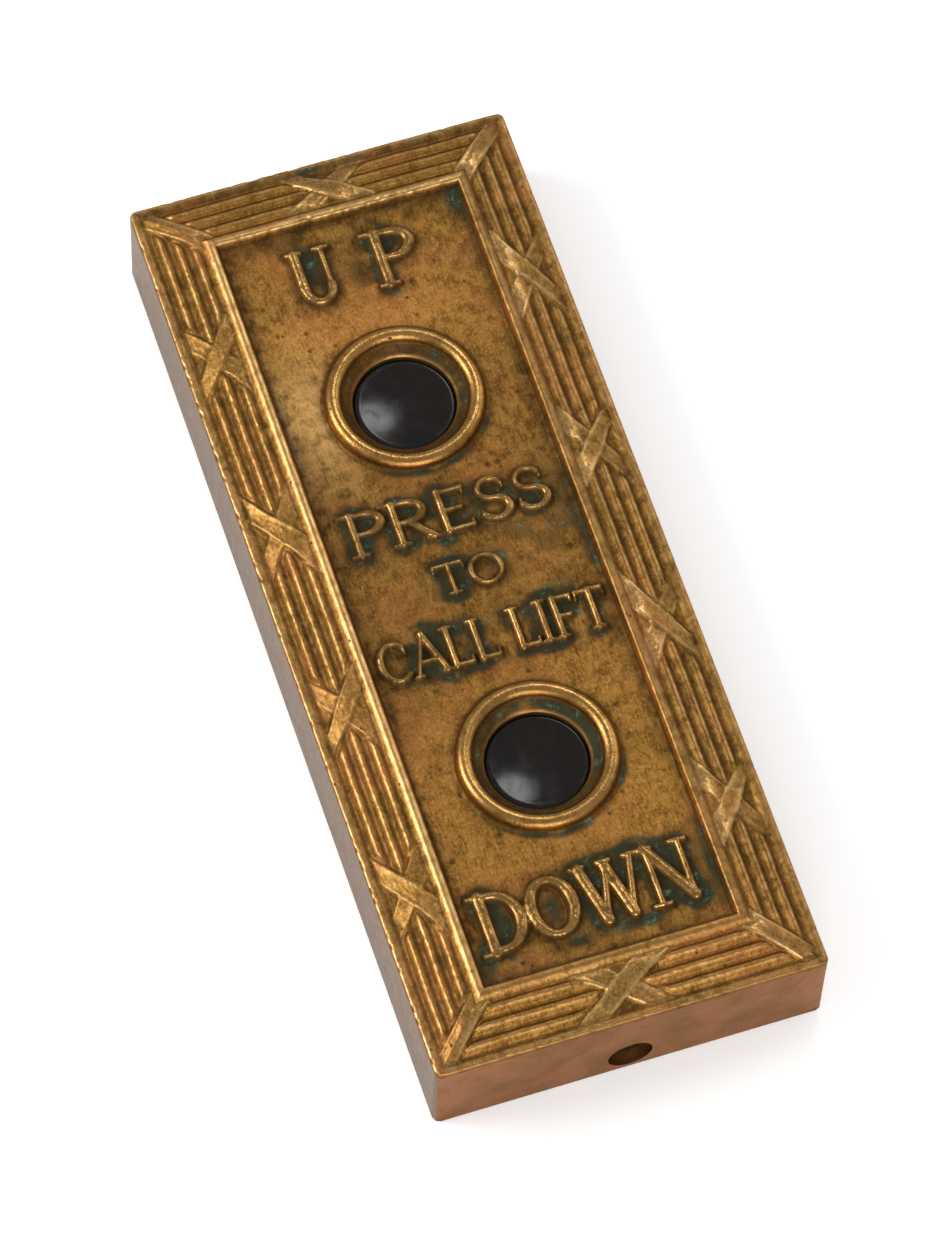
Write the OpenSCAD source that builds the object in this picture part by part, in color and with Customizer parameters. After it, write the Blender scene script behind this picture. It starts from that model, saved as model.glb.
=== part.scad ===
// Two-button elevator hall call panel: a cast bronze tray with a reed-and-ribbon
// border over a mounting base that carries two sprung push buttons and their contacts.
// Origin at the centre of the wall plane, +Z out of the face, +Y towards the upper button.

/* [Faceplate] */
// Width across the outer lip
plate_w = 57.15; // [54:0.05:75]
// Length across the outer lip
plate_l = 142.9; // [138:0.1:180]
// Height of the outer lip above the wall
lip_h = 15.9; // [15.4:0.1:22]
// Thickness of the side walls
wall_t = 3; // [2.4:0.1:4]
// Thickness of the face under the field
face_t = 3.8; // [3.2:0.1:4.2]
// Step from the outer lip up to the field
field_rise = 0.5; // [0.2:0.1:1]
// Radius of the upright outer corners
corner_r = 1; // [0.5:0.1:2]

/* [Reeded border] */
// Width of the plain lip outside the reeds
lip_w = 1.75; // [1.4:0.05:2]
// Number of reeds on each side
reed_count = 3; // [2:1:3]
// Distance from one reed to the next
reed_pitch = 2.15; // [2:0.05:2.3]
// Radius of one reed
reed_r = 1.1; // [0.95:0.05:1.15]
// Height of the outermost reed above the lip
reed_stand = 0.6; // [0.4:0.05:0.9]
// Rise from one reed to the next towards the field
reed_rise = 0.55; // [0.35:0.05:0.7]
// Depth of the grooves below the reed crests
groove_depth = 0.75; // [0.5:0.05:0.8]
// Width of the inner moulding
moulding_w = 1.85; // [1.4:0.05:2.2]
// Height of the inner moulding above the field
moulding_h = 1.6; // [1.2:0.1:2]
// Width of the slope from the moulding down to the field
bevel_w = 0.55; // [0.4:0.05:1]

/* [Ribbons] */
// Width of the crossing ribbons
ribbon_w = 2.85; // [2.2:0.05:3.2]
// Crown of a ribbon above its own edges
ribbon_crown = 0.2; // [0.15:0.05:0.4]
// Height of the upper ribbon's edges above the reed crests
ribbon_over = 0.05; // [0:0.05:0.3]
// Angle of a ribbon from the straight way across the border
ribbon_angle = 54; // [48:1:58]
// Number of crossings on each long side
ribbon_count = 4; // [2:1:4]
// Distance between crossings on the long sides
ribbon_pitch = 29.5; // [27:0.5:30]
// Width of the bands over the mitred corners
corner_band_w = 2.8; // [2:0.1:3.4]

/* [Button rings] */
// Distance between the two button centres
button_spacing = 59.6; // [57:0.1:63]
// Radius of the bore that guides a button
bore_r = 7.5; // [7:0.1:7.8]
// Width of the conical throat outside the bore
throat_w = 1.65; // [1.2:0.05:2]
// Depth of the bore's sharp edge below the field
throat_drop = 0.9; // [0.5:0.1:1.2]
// Radius of the ring's rounded crest
crest_r = 1.25; // [1:0.05:1.5]
// Height of the ring's crest above the field
ring_h = 1.8; // [1.5:0.1:2.2]

/* [Buttons] */
// Travel of a button
travel = 1.5; // [1:0.1:1.7]
// Gap between a button and its bore
cap_clear = 0.1; // [0.05:0.01:0.2]
// Height of a button's rim above the back of the face
cap_stand = 2.3; // [2.2:0.1:2.8]
// Depth of the finger dish in a button
cap_dish = 0.5; // [0.3:0.1:0.7]
// Thickness of a button's wall
cap_wall = 1.7; // [1.4:0.1:2]
// Thickness of a button's roof under the dish
cap_roof = 1.3; // [1.1:0.1:1.5]
// Width of the flange that holds a button in
flange_w = 1.5; // [1:0.1:2]
// Thickness of that flange
flange_t = 1.2; // [0.9:0.1:1.4]
// Radius of a button's stem
stem_r = 1.6; // [1.4:0.05:1.8]
// Radius of the threaded lower end of the stem
stem_end_r = 1.2; // [1:0.05:1.3]
// Radius of the spring at the middle of its wire
spring_r = 4.2; // [3.8:0.1:4.8]
// Thickness of the spring wire
spring_wire = 0.5; // [0.4:0.05:0.55]
// Turns of the spring
spring_turns = 4; // [3:0.5:4]

/* [Contacts] */
// Radius of the contact disc on a stem
disc_r = 6.2; // [6:0.1:7]
// Thickness of the contact disc
disc_t = 0.6; // [0.5:0.1:0.8]
// Distance of a contact tip from the stem's axis
tip_x = 4.7; // [4.5:0.1:4.8]
// Radius of a contact tip
tip_r = 1.2; // [0.9:0.1:1.2]
// Height of a contact tip above its strip
tip_h = 0.5; // [0.4:0.1:0.7]
// Width of a contact strip
strip_w = 6.4; // [5:0.1:7]
// Thickness of a contact strip
strip_t = 0.7; // [0.5:0.1:0.9]
// Distance of a terminal screw from the panel's edge
terminal_inset = 6; // [5:0.1:7]

/* [Base] */
// Thickness of the mounting base
base_t = 1.6; // [1.4:0.1:1.8]
// Gap between the base and the side walls
base_gap = 0.3; // [0.2:0.05:0.6]
// Thickness of the insulating panel
panel_t = 2.2; // [2:0.1:2.5]
// Distance of the panel's long edges from the base's edges
panel_margin = 2.2; // [1:0.1:3]
// Thickness of the guide brackets' sheet
guide_t = 0.8; // [0.6:0.1:0.9]
// Width of the guide brackets
guide_w = 12; // [10:0.5:14]
// Length of a guide bracket's foot
guide_foot = 6.2; // [5.5:0.1:6.6]
// Thickness of the end lugs
lug_t = 5; // [4:0.1:6]
// Half width of an end lug
lug_r = 5.5; // [4.5:0.1:6]
// Height of the edge screws above the wall
edge_z = 4; // [3.9:0.1:5]
// Radius of the holes in the end walls
edge_hole_r = 3.25; // [3:0.05:3.4]
// Distance from a lug to the nearer wall screw hole
wall_hole_inset = 10.75; // [9:0.05:11.5]
// Radius of the wall screw holes
wall_hole_r = 2.4; // [2:0.1:2.6]
// Radius of the wire entry through the bushing
wire_r = 5; // [4:0.1:6]

/* [Hidden] */
$fn = 64;
eps = 0.01;
through = 1;

// Levels of the faceplate
field_z = lip_h + field_rise;
face_back = field_z - face_t;
moulding_z = field_z + moulding_h;
crest_z = field_z + ring_h;
edge_cut_z = field_z - throat_drop;

// Border across its width, counted inwards from the outer edge
moulding_e = lip_w + reed_count * reed_pitch;
border_w = moulding_e + moulding_w + bevel_w;
border_slope = reed_rise / reed_pitch;
border_root = 2.2;
lip_ease = 0.6;
moulding_ease = 0.8;

// Ribbons lie in the sloping plane of the reed crests
ribbon_tilt = atan(border_slope);
corner_tilt = atan(border_slope / sqrt(2));
ribbon_root = 1;
ribbon_from = lip_w - lip_ease;
ribbon_to = moulding_e + moulding_ease / 2;
ribbon_step = 0.2;
ribbon_under = ribbon_over - ribbon_step;
ribbon_run = 24;
corner_run = 16;

// Rings
button_y = button_spacing / 2;
throat_r = bore_r + throat_w;
throat_edge = 0.5;
throat_round = 0.4;
crest_inset = 1.2;
crest_at = throat_r + crest_inset;
ring_r = crest_at + crest_r;
ring_root = 1;

// Levels of the contact stack, counted up from the wall
contact_gap = 0.05;
run_gap = 0.3;
stop_gap = 0.1;
panel_z = base_t + panel_t;
strip_z = panel_z + strip_t;
tip_z = strip_z + tip_h;
disc_z = tip_z + travel + contact_gap;
disc_top = disc_z + disc_t;
bush_flange_t = 0.4;
shoulder_z = disc_top + bush_flange_t;
guide_z = shoulder_z + run_gap;
guide_top = guide_z + guide_t;

// Button caps
cap_r = bore_r - cap_clear;
cap_top = face_back + cap_stand;
cap_rim_w = 0.9;
cap_edge = 0.35;
flange_r = bore_r + flange_w;
flange_top = face_back - stop_gap;
flange_z = flange_top - flange_t;
roof_z = cap_top - cap_dish - cap_roof;
cap_inside_r = cap_r - cap_wall;
stem_seat = 0.6;

// Fits of the stem and the pieces on it
stem_clear = 0.06;
thread_clear = 0.05;
bush_wall = 1;
bush_r = stem_end_r + thread_clear + bush_wall;
bush_flange_w = 1;
bush_flange_r = bush_r + bush_flange_w;
washer_t = 0.4;
washer_w = 0.6;
nut_t = 1;
nut_wall = 1.35;
nut_r = stem_end_r + nut_wall;
nut_z = disc_z - washer_t - nut_t;
stem_past_nut = 0.2;
stem_end_z = nut_z - stem_past_nut;
stem_room = 0.6;
stem_room_r = nut_r + stem_room;
spigot_wall = 1;
spigot_r = stem_r + spigot_wall;
spigot_h = 0.8;

// Springs
spring_sides = 8;
spring_steps = 20;
spring_gap = 0.02;
spring_low = guide_top + spring_wire / 2 + spring_gap;
spring_high = roof_z - spring_wire / 2 - spring_gap;
spring_ease = 0.5;

// Plan of the base, the panel and what stands on it
base_w = plate_w - 2 * (wall_t + base_gap);
base_l = plate_l - 2 * (wall_t + base_gap);
base_corner = 1.5;
wall_hole_y = base_l / 2 - lug_t - wall_hole_inset;
leg_clear = 3.2;
leg_y = disc_r + leg_clear;
foot_end = leg_y + guide_t + guide_foot;
guide_screw_y = leg_y + guide_t + guide_foot / 2;
panel_end = 1.2;
panel_w = base_w - 2 * panel_margin;
panel_l = 2 * (button_y + foot_end + panel_end);
panel_screw_inset = 4;
panel_screw_x = panel_w / 2 - panel_screw_inset;
panel_screw_y = panel_l / 2 - panel_screw_inset;
terminal_x = panel_w / 2 - terminal_inset;
strip_clear = 0.2;
strip_in = stem_room_r + strip_clear;

// Screws: radius of shank and head, height of head
terminal_screw = [1.5, 2.6, 1.6];
guide_screw = [1.2, 2.2, 1.3];
panel_screw = [1.4, 2.4, 1.5];
screw_tip_room = 0.3;
screw_slot_w = 0.7;
screw_slot_depth = 0.7;
terminal_washer_r = 3;
terminal_washer_t = 0.5;
edge_screw_r = 2.9;
edge_screw_engage = 0.8;

// Wire bushing
bushing_wall = 1.4;
bushing_flange_w = 1.6;
bushing_flange_t = 1;
bushing_r = wire_r + bushing_wall;

// Height of the reed crests at a distance e from the outer edge
function crest_line(e) = lip_h + reed_stand + (e - lip_w - reed_pitch / 2) * border_slope;

// Share of the spring's height at a share t of its length, with closer turns at both ends
function spring_share(t) = t - spring_ease * sin(360 * t) / (2 * PI);

// Radius and centre of the crown over a screw head
function head_sphere(sizes) = (sizes[1] * sizes[1] + sizes[2] * sizes[2] / 4) / sizes[2];
function head_drop(sizes) = sizes[2] - head_sphere(sizes);

module at_button(side) {
    translate([0, side * button_y, 0]) children();
}

module both_ways(x, y) {
    for (sx = [-1, 1], sy = [-1, 1]) translate([sx * x, sy * y, 0]) children();
}

module rounded_plate(w, l, r, h) {
    linear_extrude(h) {
        square([w - 2 * r, l], center = true);
        square([w, l - 2 * r], center = true);
        for (sx = [-1, 1], sy = [-1, 1])
            translate([sx * (w / 2 - r), sy * (l / 2 - r)]) circle(r);
    }
}

// Tube or washer standing on z = 0
module ring_plate(r_out, r_in, h) {
    difference() {
        cylinder(r = r_out, h = h);
        translate([0, 0, -through]) cylinder(r = r_in, h = h + 2 * through);
    }
}

// Round-edged slotted screw: the head's underside lies at z = 0
module slotted_screw(sizes, shank_l) {
    difference() {
        union() {
            translate([0, 0, -shank_l]) cylinder(r = sizes[0], h = shank_l + eps);
            rotate_extrude() {
                square([sizes[1], sizes[2] / 2]);
                intersection() {
                    translate([0, sizes[2] / 2]) square([sizes[1], sizes[2]]);
                    translate([0, head_drop(sizes)]) circle(head_sphere(sizes));
                }
            }
        }
        translate([-sizes[1] - through, -screw_slot_w / 2, sizes[2] - screw_slot_depth])
            cube([2 * (sizes[1] + through), screw_slot_w, sizes[2]]);
    }
}

// Cross-section of the border: lip, reeds in their grooves, moulding and bevel
module border_profile() {
    bed = crest_line(lip_w) - groove_depth;
    bed_end = crest_line(moulding_e) - groove_depth;
    polygon([
        [0, lip_h - border_root], [0, lip_h], [lip_w - lip_ease, lip_h], [lip_w, bed],
        [moulding_e, bed_end], [moulding_e + moulding_ease, moulding_z],
        [moulding_e + moulding_w, moulding_z], [border_w, field_z], [border_w, lip_h - border_root]
    ]);
    for (i = [0 : reed_count - 1]) {
        e = lip_w + (i + 0.5) * reed_pitch;
        translate([e, crest_line(e) - reed_r]) circle(reed_r);
    }
}

// One side of the border, mitred at both ends; its outer edge lies on the X axis
module border_side(len) {
    intersection() {
        rotate([90, 0, 90]) linear_extrude(len, center = true) border_profile();
        linear_extrude(2 * moulding_z)
            polygon([
                [-len / 2, 0], [len / 2, 0],
                [len / 2 - border_w, border_w], [border_w - len / 2, border_w]
            ]);
    }
}

// Crowned band along Y: its edges lie at z = 0
module band(w, crown, len) {
    arc_r = (w * w / 4 + crown * crown) / (2 * crown);
    rotate([90, 0, 0]) linear_extrude(len, center = true) intersection() {
        translate([0, crown - arc_r]) circle(arc_r);
        translate([-w / 2, -ribbon_root]) square([w, ribbon_root + crown]);
    }
}

// Two ribbons crossing over the reeds; lean chooses which of them lies on top
module ribbon_cross(lean) {
    mid = lip_w + reed_count * reed_pitch / 2;
    intersection() {
        translate([0, mid, crest_line(mid)]) rotate([ribbon_tilt, 0, 0]) {
            rotate([0, 0, lean * ribbon_angle])
                translate([0, 0, ribbon_over]) band(ribbon_w, ribbon_crown, ribbon_run);
            rotate([0, 0, -lean * ribbon_angle])
                translate([0, 0, ribbon_under]) band(ribbon_w, ribbon_crown, ribbon_run);
        }
        translate([-ribbon_run / 2, ribbon_from, lip_h - border_root])
            cube([ribbon_run, ribbon_to - ribbon_from, moulding_z]);
    }
}

// Band over one mitred corner, with the corner at the origin and the border inwards
module corner_band() {
    intersection() {
        translate([lip_w, lip_w, crest_line(lip_w)]) rotate([0, 0, -45]) rotate([corner_tilt, 0, 0])
            band(corner_band_w, ribbon_crown, corner_run);
        translate([ribbon_from, ribbon_from, lip_h - border_root])
            cube([ribbon_to - ribbon_from, ribbon_to - ribbon_from, moulding_z]);
    }
}

module long_side(side) {
    rotate([0, 0, side * 90]) translate([0, -plate_w / 2, 0]) {
        border_side(plate_l);
        for (i = [0 : ribbon_count - 1])
            translate([(i - (ribbon_count - 1) / 2) * ribbon_pitch, 0, 0])
                ribbon_cross(i % 2 == 0 ? 1 : -1);
    }
}

module short_side(side) {
    rotate([0, 0, side > 0 ? 180 : 0]) translate([0, -plate_l / 2, 0]) {
        border_side(plate_w);
        ribbon_cross(side);
    }
}

module corner_bands() {
    for (sx = [0, 1], sy = [0, 1])
        mirror([sx, 0, 0]) mirror([0, sy, 0])
            translate([-plate_w / 2, -plate_l / 2, 0]) corner_band();
}

// Raised ring round a button, with a rounded crest
module button_ring() {
    rotate_extrude() {
        translate([bore_r, field_z - ring_root])
            square([ring_r - bore_r, crest_z - crest_r - field_z + ring_root]);
        translate([crest_at, crest_z - crest_r]) circle(crest_r);
        polygon([
            [bore_r, field_z], [crest_at, field_z], [crest_at, crest_z],
            [throat_r + throat_round, crest_z - throat_round / 4],
            [throat_r, crest_z - throat_edge], [bore_r, crest_z - 2 * throat_edge]
        ]);
    }
}

// Cut for a button: the straight bore and the cone above its sharp edge
module button_bore() {
    rotate_extrude()
        polygon([
            [0, face_back - through], [bore_r, face_back - through], [bore_r, edge_cut_z],
            [throat_r, crest_z - throat_edge], [throat_r, crest_z + through], [0, crest_z + through]
        ]);
}

module faceplate() {
    color("peru") difference() {
        union() {
            rounded_plate(plate_w, plate_l, corner_r, lip_h);
            translate([border_w - plate_w / 2 - eps, border_w - plate_l / 2 - eps, face_back])
                cube([plate_w - 2 * border_w + 2 * eps, plate_l - 2 * border_w + 2 * eps, face_t]);
            intersection() {
                union() {
                    for (side = [-1, 1]) {
                        long_side(side);
                        short_side(side);
                    }
                    corner_bands();
                }
                rounded_plate(plate_w, plate_l, corner_r, 2 * moulding_z);
            }
            for (side = [-1, 1]) at_button(side) button_ring();
        }
        translate([0, 0, -through])
            rounded_plate(plate_w - 2 * wall_t, plate_l - 2 * wall_t, base_corner, face_back + through);
        for (side = [-1, 1]) {
            at_button(side) button_bore();
            translate([0, side * (plate_l / 2 - wall_t / 2), edge_z]) rotate([90, 0, 0])
                cylinder(r = edge_hole_r, h = wall_t + 2 * through, center = true);
        }
    }
}

// Flat base with a turned-up lug at each end, tapped for the edge screws
module base_plate() {
    color("darkgray") difference() {
        union() {
            rounded_plate(base_w, base_l, base_corner, base_t);
            for (side = [-1, 1]) translate([0, side * (base_l - lug_t) / 2, 0]) {
                translate([-lug_r, -lug_t / 2, 0]) cube([2 * lug_r, lug_t, edge_z]);
                translate([0, 0, edge_z]) rotate([90, 0, 0])
                    intersection() {
                        cylinder(r = lug_r, h = lug_t, center = true);
                        translate([-lug_r, -edge_z, -lug_t])
                            cube([2 * lug_r, edge_z + lug_r, 2 * lug_t]);
                    }
            }
        }
        for (side = [-1, 1]) {
            translate([0, side * (base_l - lug_t) / 2, edge_z]) rotate([90, 0, 0])
                cylinder(r = edge_screw_r + thread_clear, h = lug_t + 2 * through, center = true);
            translate([0, side * wall_hole_y, -through])
                cylinder(r = wall_hole_r, h = base_t + 2 * through);
        }
        both_ways(panel_screw_x, panel_screw_y) translate([0, 0, -through])
            cylinder(r = panel_screw[0] + thread_clear, h = base_t + 2 * through);
        translate([0, 0, -through])
            cylinder(r = bushing_r + thread_clear, h = base_t + 2 * through);
    }
}

// Headless slotted screws, backed out of the lugs into the holes of the end walls
module edge_screws() {
    len = lug_t + base_gap + edge_screw_engage;
    color("dimgray") for (side = [-1, 1])
        translate([0, side * (base_l / 2 - lug_t), edge_z]) rotate([-90 * side, 0, 0])
            difference() {
                cylinder(r = edge_screw_r, h = len);
                translate([-edge_screw_r - through, -screw_slot_w / 2, len - screw_slot_depth])
                    cube([2 * (edge_screw_r + through), screw_slot_w, len]);
            }
}

module insulating_panel() {
    color("saddlebrown") translate([0, 0, base_t]) difference() {
        rounded_plate(panel_w, panel_l, base_corner, panel_t);
        translate([0, 0, -through]) {
            cylinder(r = bushing_r + thread_clear, h = panel_t + 2 * through);
            both_ways(panel_screw_x, panel_screw_y)
                cylinder(r = panel_screw[0] + thread_clear, h = panel_t + 2 * through);
            both_ways(terminal_x, button_y)
                cylinder(r = terminal_screw[0] + thread_clear, h = panel_t + 2 * through);
            for (side = [-1, 1]) at_button(side) {
                cylinder(r = stem_room_r, h = panel_t + 2 * through);
                both_ways(0, guide_screw_y)
                    cylinder(r = guide_screw[0] + thread_clear, h = panel_t + 2 * through);
            }
        }
    }
}

module panel_screws() {
    color("gray") both_ways(panel_screw_x, panel_screw_y) translate([0, 0, panel_z])
        slotted_screw(panel_screw, panel_z - screw_tip_room);
}

// Flanged insulating tube that lines the wire entry
module wire_bushing() {
    color("dimgray") difference() {
        union() {
            cylinder(r = bushing_r, h = panel_z + eps);
            translate([0, 0, panel_z])
                cylinder(r = bushing_r + bushing_flange_w, h = bushing_flange_t);
        }
        translate([0, 0, -through])
            cylinder(r = wire_r, h = panel_z + bushing_flange_t + 2 * through);
    }
}

// Two strips, one each way from the stem to its terminal screw
module contact_strips(side) {
    color("goldenrod") at_button(side) for (sx = [0, 1]) mirror([sx, 0, 0])
        translate([0, 0, panel_z]) difference() {
            linear_extrude(strip_t) {
                translate([strip_in, -strip_w / 2]) square([terminal_x - strip_in, strip_w]);
                translate([terminal_x, 0]) circle(strip_w / 2);
            }
            translate([terminal_x, 0, -through])
                cylinder(r = terminal_screw[0] + thread_clear, h = strip_t + 2 * through);
        }
}

module contact_tips(side) {
    color("silver") at_button(side) for (sx = [-1, 1])
        translate([sx * tip_x, 0, strip_z]) cylinder(r = tip_r, h = tip_h);
}

module terminal_washers() {
    color("gold") both_ways(terminal_x, button_y) translate([0, 0, strip_z])
        ring_plate(terminal_washer_r, terminal_screw[0] + thread_clear, terminal_washer_t);
}

module terminal_screws() {
    head_z = strip_z + terminal_washer_t;
    color("darkgoldenrod") both_ways(terminal_x, button_y) translate([0, 0, head_z])
        slotted_screw(terminal_screw, head_z - base_t - screw_tip_room);
}

// Hat-shaped bracket: two feet, two legs and a top with a spigot that guides the stem
module guide_bracket(side) {
    color("khaki") at_button(side) difference() {
        union() {
            translate([-guide_w / 2, -leg_y - guide_t, guide_z])
                cube([guide_w, 2 * (leg_y + guide_t), guide_t]);
            translate([0, 0, guide_z]) cylinder(r = spigot_r, h = guide_t + spigot_h);
            for (sy = [0, 1]) mirror([0, sy, 0]) {
                translate([-guide_w / 2, leg_y, panel_z]) cube([guide_w, guide_t, guide_top - panel_z]);
                translate([-guide_w / 2, leg_y, panel_z]) cube([guide_w, guide_t + guide_foot, guide_t]);
            }
        }
        translate([0, 0, guide_z - through])
            cylinder(r = stem_r + stem_clear, h = guide_t + spigot_h + 2 * through);
        both_ways(0, guide_screw_y) translate([0, 0, panel_z - through])
            cylinder(r = guide_screw[0] + thread_clear, h = guide_t + 2 * through);
    }
}

module guide_screws() {
    head_z = panel_z + guide_t;
    color("gray") for (side = [-1, 1]) at_button(side)
        both_ways(0, guide_screw_y) translate([0, 0, head_z])
            slotted_screw(guide_screw, head_z - base_t - screw_tip_room);
}

// Dished cap with a retaining flange, hollow below for the spring
module button_cap(side) {
    dish_r = cap_r - cap_rim_w;
    dish_sphere = (dish_r * dish_r + cap_dish * cap_dish) / (2 * cap_dish);
    color("black") at_button(side) difference() {
        rotate_extrude() difference() {
            union() {
                translate([0, flange_z]) square([flange_r, flange_t]);
                translate([0, flange_z]) square([cap_r, cap_top - cap_edge - flange_z]);
                translate([0, cap_top - 2 * cap_edge]) square([cap_r - cap_edge, 2 * cap_edge]);
                translate([cap_r - cap_edge, cap_top - cap_edge]) circle(cap_edge);
            }
            translate([0, flange_z - through]) square([cap_inside_r, roof_z - flange_z + through]);
            translate([0, flange_z]) square([stem_r + thread_clear, roof_z + stem_seat - flange_z]);
        }
        translate([0, 0, cap_top - cap_dish + dish_sphere]) sphere(dish_sphere, $fn = 96);
    }
}

module stem(side) {
    color("gold") at_button(side) {
        translate([0, 0, stem_end_z]) cylinder(r = stem_end_r, h = shoulder_z - stem_end_z + eps);
        translate([0, 0, shoulder_z]) cylinder(r = stem_r, h = roof_z + stem_seat - shoulder_z - eps);
    }
}

// Coil swept from one ring of points to the next along a helix
module return_spring(side) {
    rings = spring_turns * spring_steps;
    points = [
        for (i = [0 : rings], j = [0 : spring_sides - 1])
            let (
                turn = 360 * i / spring_steps,
                side_angle = 360 * j / spring_sides,
                r = spring_r + spring_wire / 2 * cos(side_angle),
                rise = spring_low + (spring_high - spring_low) * spring_share(i / rings)
            )
            [r * cos(turn), r * sin(turn), rise + spring_wire / 2 * sin(side_angle)]
    ];
    walls = [
        for (i = [0 : rings - 1], j = [0 : spring_sides - 1])
            let (
                a = i * spring_sides + j,
                b = i * spring_sides + (j + 1) % spring_sides
            )
            each [[a, b + spring_sides, b], [a, a + spring_sides, b + spring_sides]]
    ];
    first_end = [for (j = [0 : spring_sides - 1]) j];
    last_end = [for (j = [spring_sides - 1 : -1 : 0]) rings * spring_sides + j];
    color("lightgray") at_button(side)
        polyhedron(points, concat(walls, [first_end, last_end]));
}

module contact_disc(side) {
    color("goldenrod") at_button(side) translate([0, 0, disc_z])
        ring_plate(disc_r, bush_r + thread_clear, disc_t);
}

// Flanged bush above and plain washer below keep the disc clear of the stem
module insulators(side) {
    color("saddlebrown") at_button(side) {
        translate([0, 0, disc_z - washer_t])
            ring_plate(bush_r + washer_w, stem_end_r + thread_clear, washer_t);
        difference() {
            union() {
                translate([0, 0, disc_z + contact_gap])
                    cylinder(r = bush_r, h = disc_t - contact_gap + eps);
                translate([0, 0, disc_top]) cylinder(r = bush_flange_r, h = bush_flange_t);
            }
            translate([0, 0, disc_z]) cylinder(r = stem_end_r + thread_clear, h = disc_t + through);
        }
    }
}

module stem_nut(side) {
    color("gold") at_button(side) translate([0, 0, nut_z]) difference() {
        cylinder(r = nut_r, h = nut_t, $fn = 6);
        translate([0, 0, -through]) cylinder(r = stem_end_r + thread_clear, h = nut_t + 2 * through);
    }
}

faceplate();
base_plate();
edge_screws();
insulating_panel();
panel_screws();
wire_bushing();
contact_strips(1);  // up_contact_strips
contact_strips(-1);  // down_contact_strips
contact_tips(1);  // up_contact_tips
contact_tips(-1);  // down_contact_tips
terminal_washers();
terminal_screws();
guide_bracket(1);  // up_guide_bracket
guide_bracket(-1);  // down_guide_bracket
guide_screws();
button_cap(1);  // up_button_cap
button_cap(-1);  // down_button_cap
stem(1);  // up_stem
stem(-1);  // down_stem
return_spring(1);  // up_return_spring
return_spring(-1);  // down_return_spring
contact_disc(1);  // up_contact_disc
contact_disc(-1);  // down_contact_disc
insulators(1);  // up_insulators
insulators(-1);  // down_insulators
stem_nut(1);  // up_stem_nut
stem_nut(-1);  // down_stem_nut
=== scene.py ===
"""Elevator hall call panel: a cast bronze plate with a reed-and-ribbon border over two push buttons."""

import math
from types import SimpleNamespace

import bpy
import numpy as np
from bpy.props import FloatProperty, FloatVectorProperty, IntProperty, PointerProperty
from mathutils import Matrix, Vector


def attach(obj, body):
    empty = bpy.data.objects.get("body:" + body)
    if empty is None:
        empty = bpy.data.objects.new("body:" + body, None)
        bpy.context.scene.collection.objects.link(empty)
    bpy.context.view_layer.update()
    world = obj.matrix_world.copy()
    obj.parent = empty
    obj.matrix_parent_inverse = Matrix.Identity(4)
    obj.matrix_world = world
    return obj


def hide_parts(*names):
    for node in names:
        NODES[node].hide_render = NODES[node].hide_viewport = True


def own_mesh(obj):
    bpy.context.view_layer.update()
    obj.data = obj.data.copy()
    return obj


bl_info = {
    "name": "Elevator Call Panel",
    "version": (1, 0, 0),
    "blender": (4, 5, 0),
    "location": "3D View > Sidebar > Call Panel",
    "description": "Bronze call panel with a reeded border, raised letters and two push buttons",
    "category": "Object",
}

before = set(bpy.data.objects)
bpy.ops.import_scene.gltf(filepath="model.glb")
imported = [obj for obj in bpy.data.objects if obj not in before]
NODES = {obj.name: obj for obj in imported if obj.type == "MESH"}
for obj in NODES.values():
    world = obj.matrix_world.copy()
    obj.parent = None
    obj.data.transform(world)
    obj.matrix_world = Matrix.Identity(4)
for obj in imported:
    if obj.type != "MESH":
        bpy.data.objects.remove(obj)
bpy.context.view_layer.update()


# Properties


def length(name, description, millimetres):
    """A length property whose default is given in millimetres and kept in metres."""
    return FloatProperty(
        name=name, description=description, default=millimetres / 1000, unit="LENGTH", precision=5
    )


def colour(name, description, *rgb):
    """A colour property with a linear default."""
    return FloatVectorProperty(name=name, description=description, default=rgb, subtype="COLOR", min=0, max=1)


def power(name, description, watts):
    """The power of a light."""
    return FloatProperty(name=name, description=description, default=watts, unit="POWER")


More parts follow.
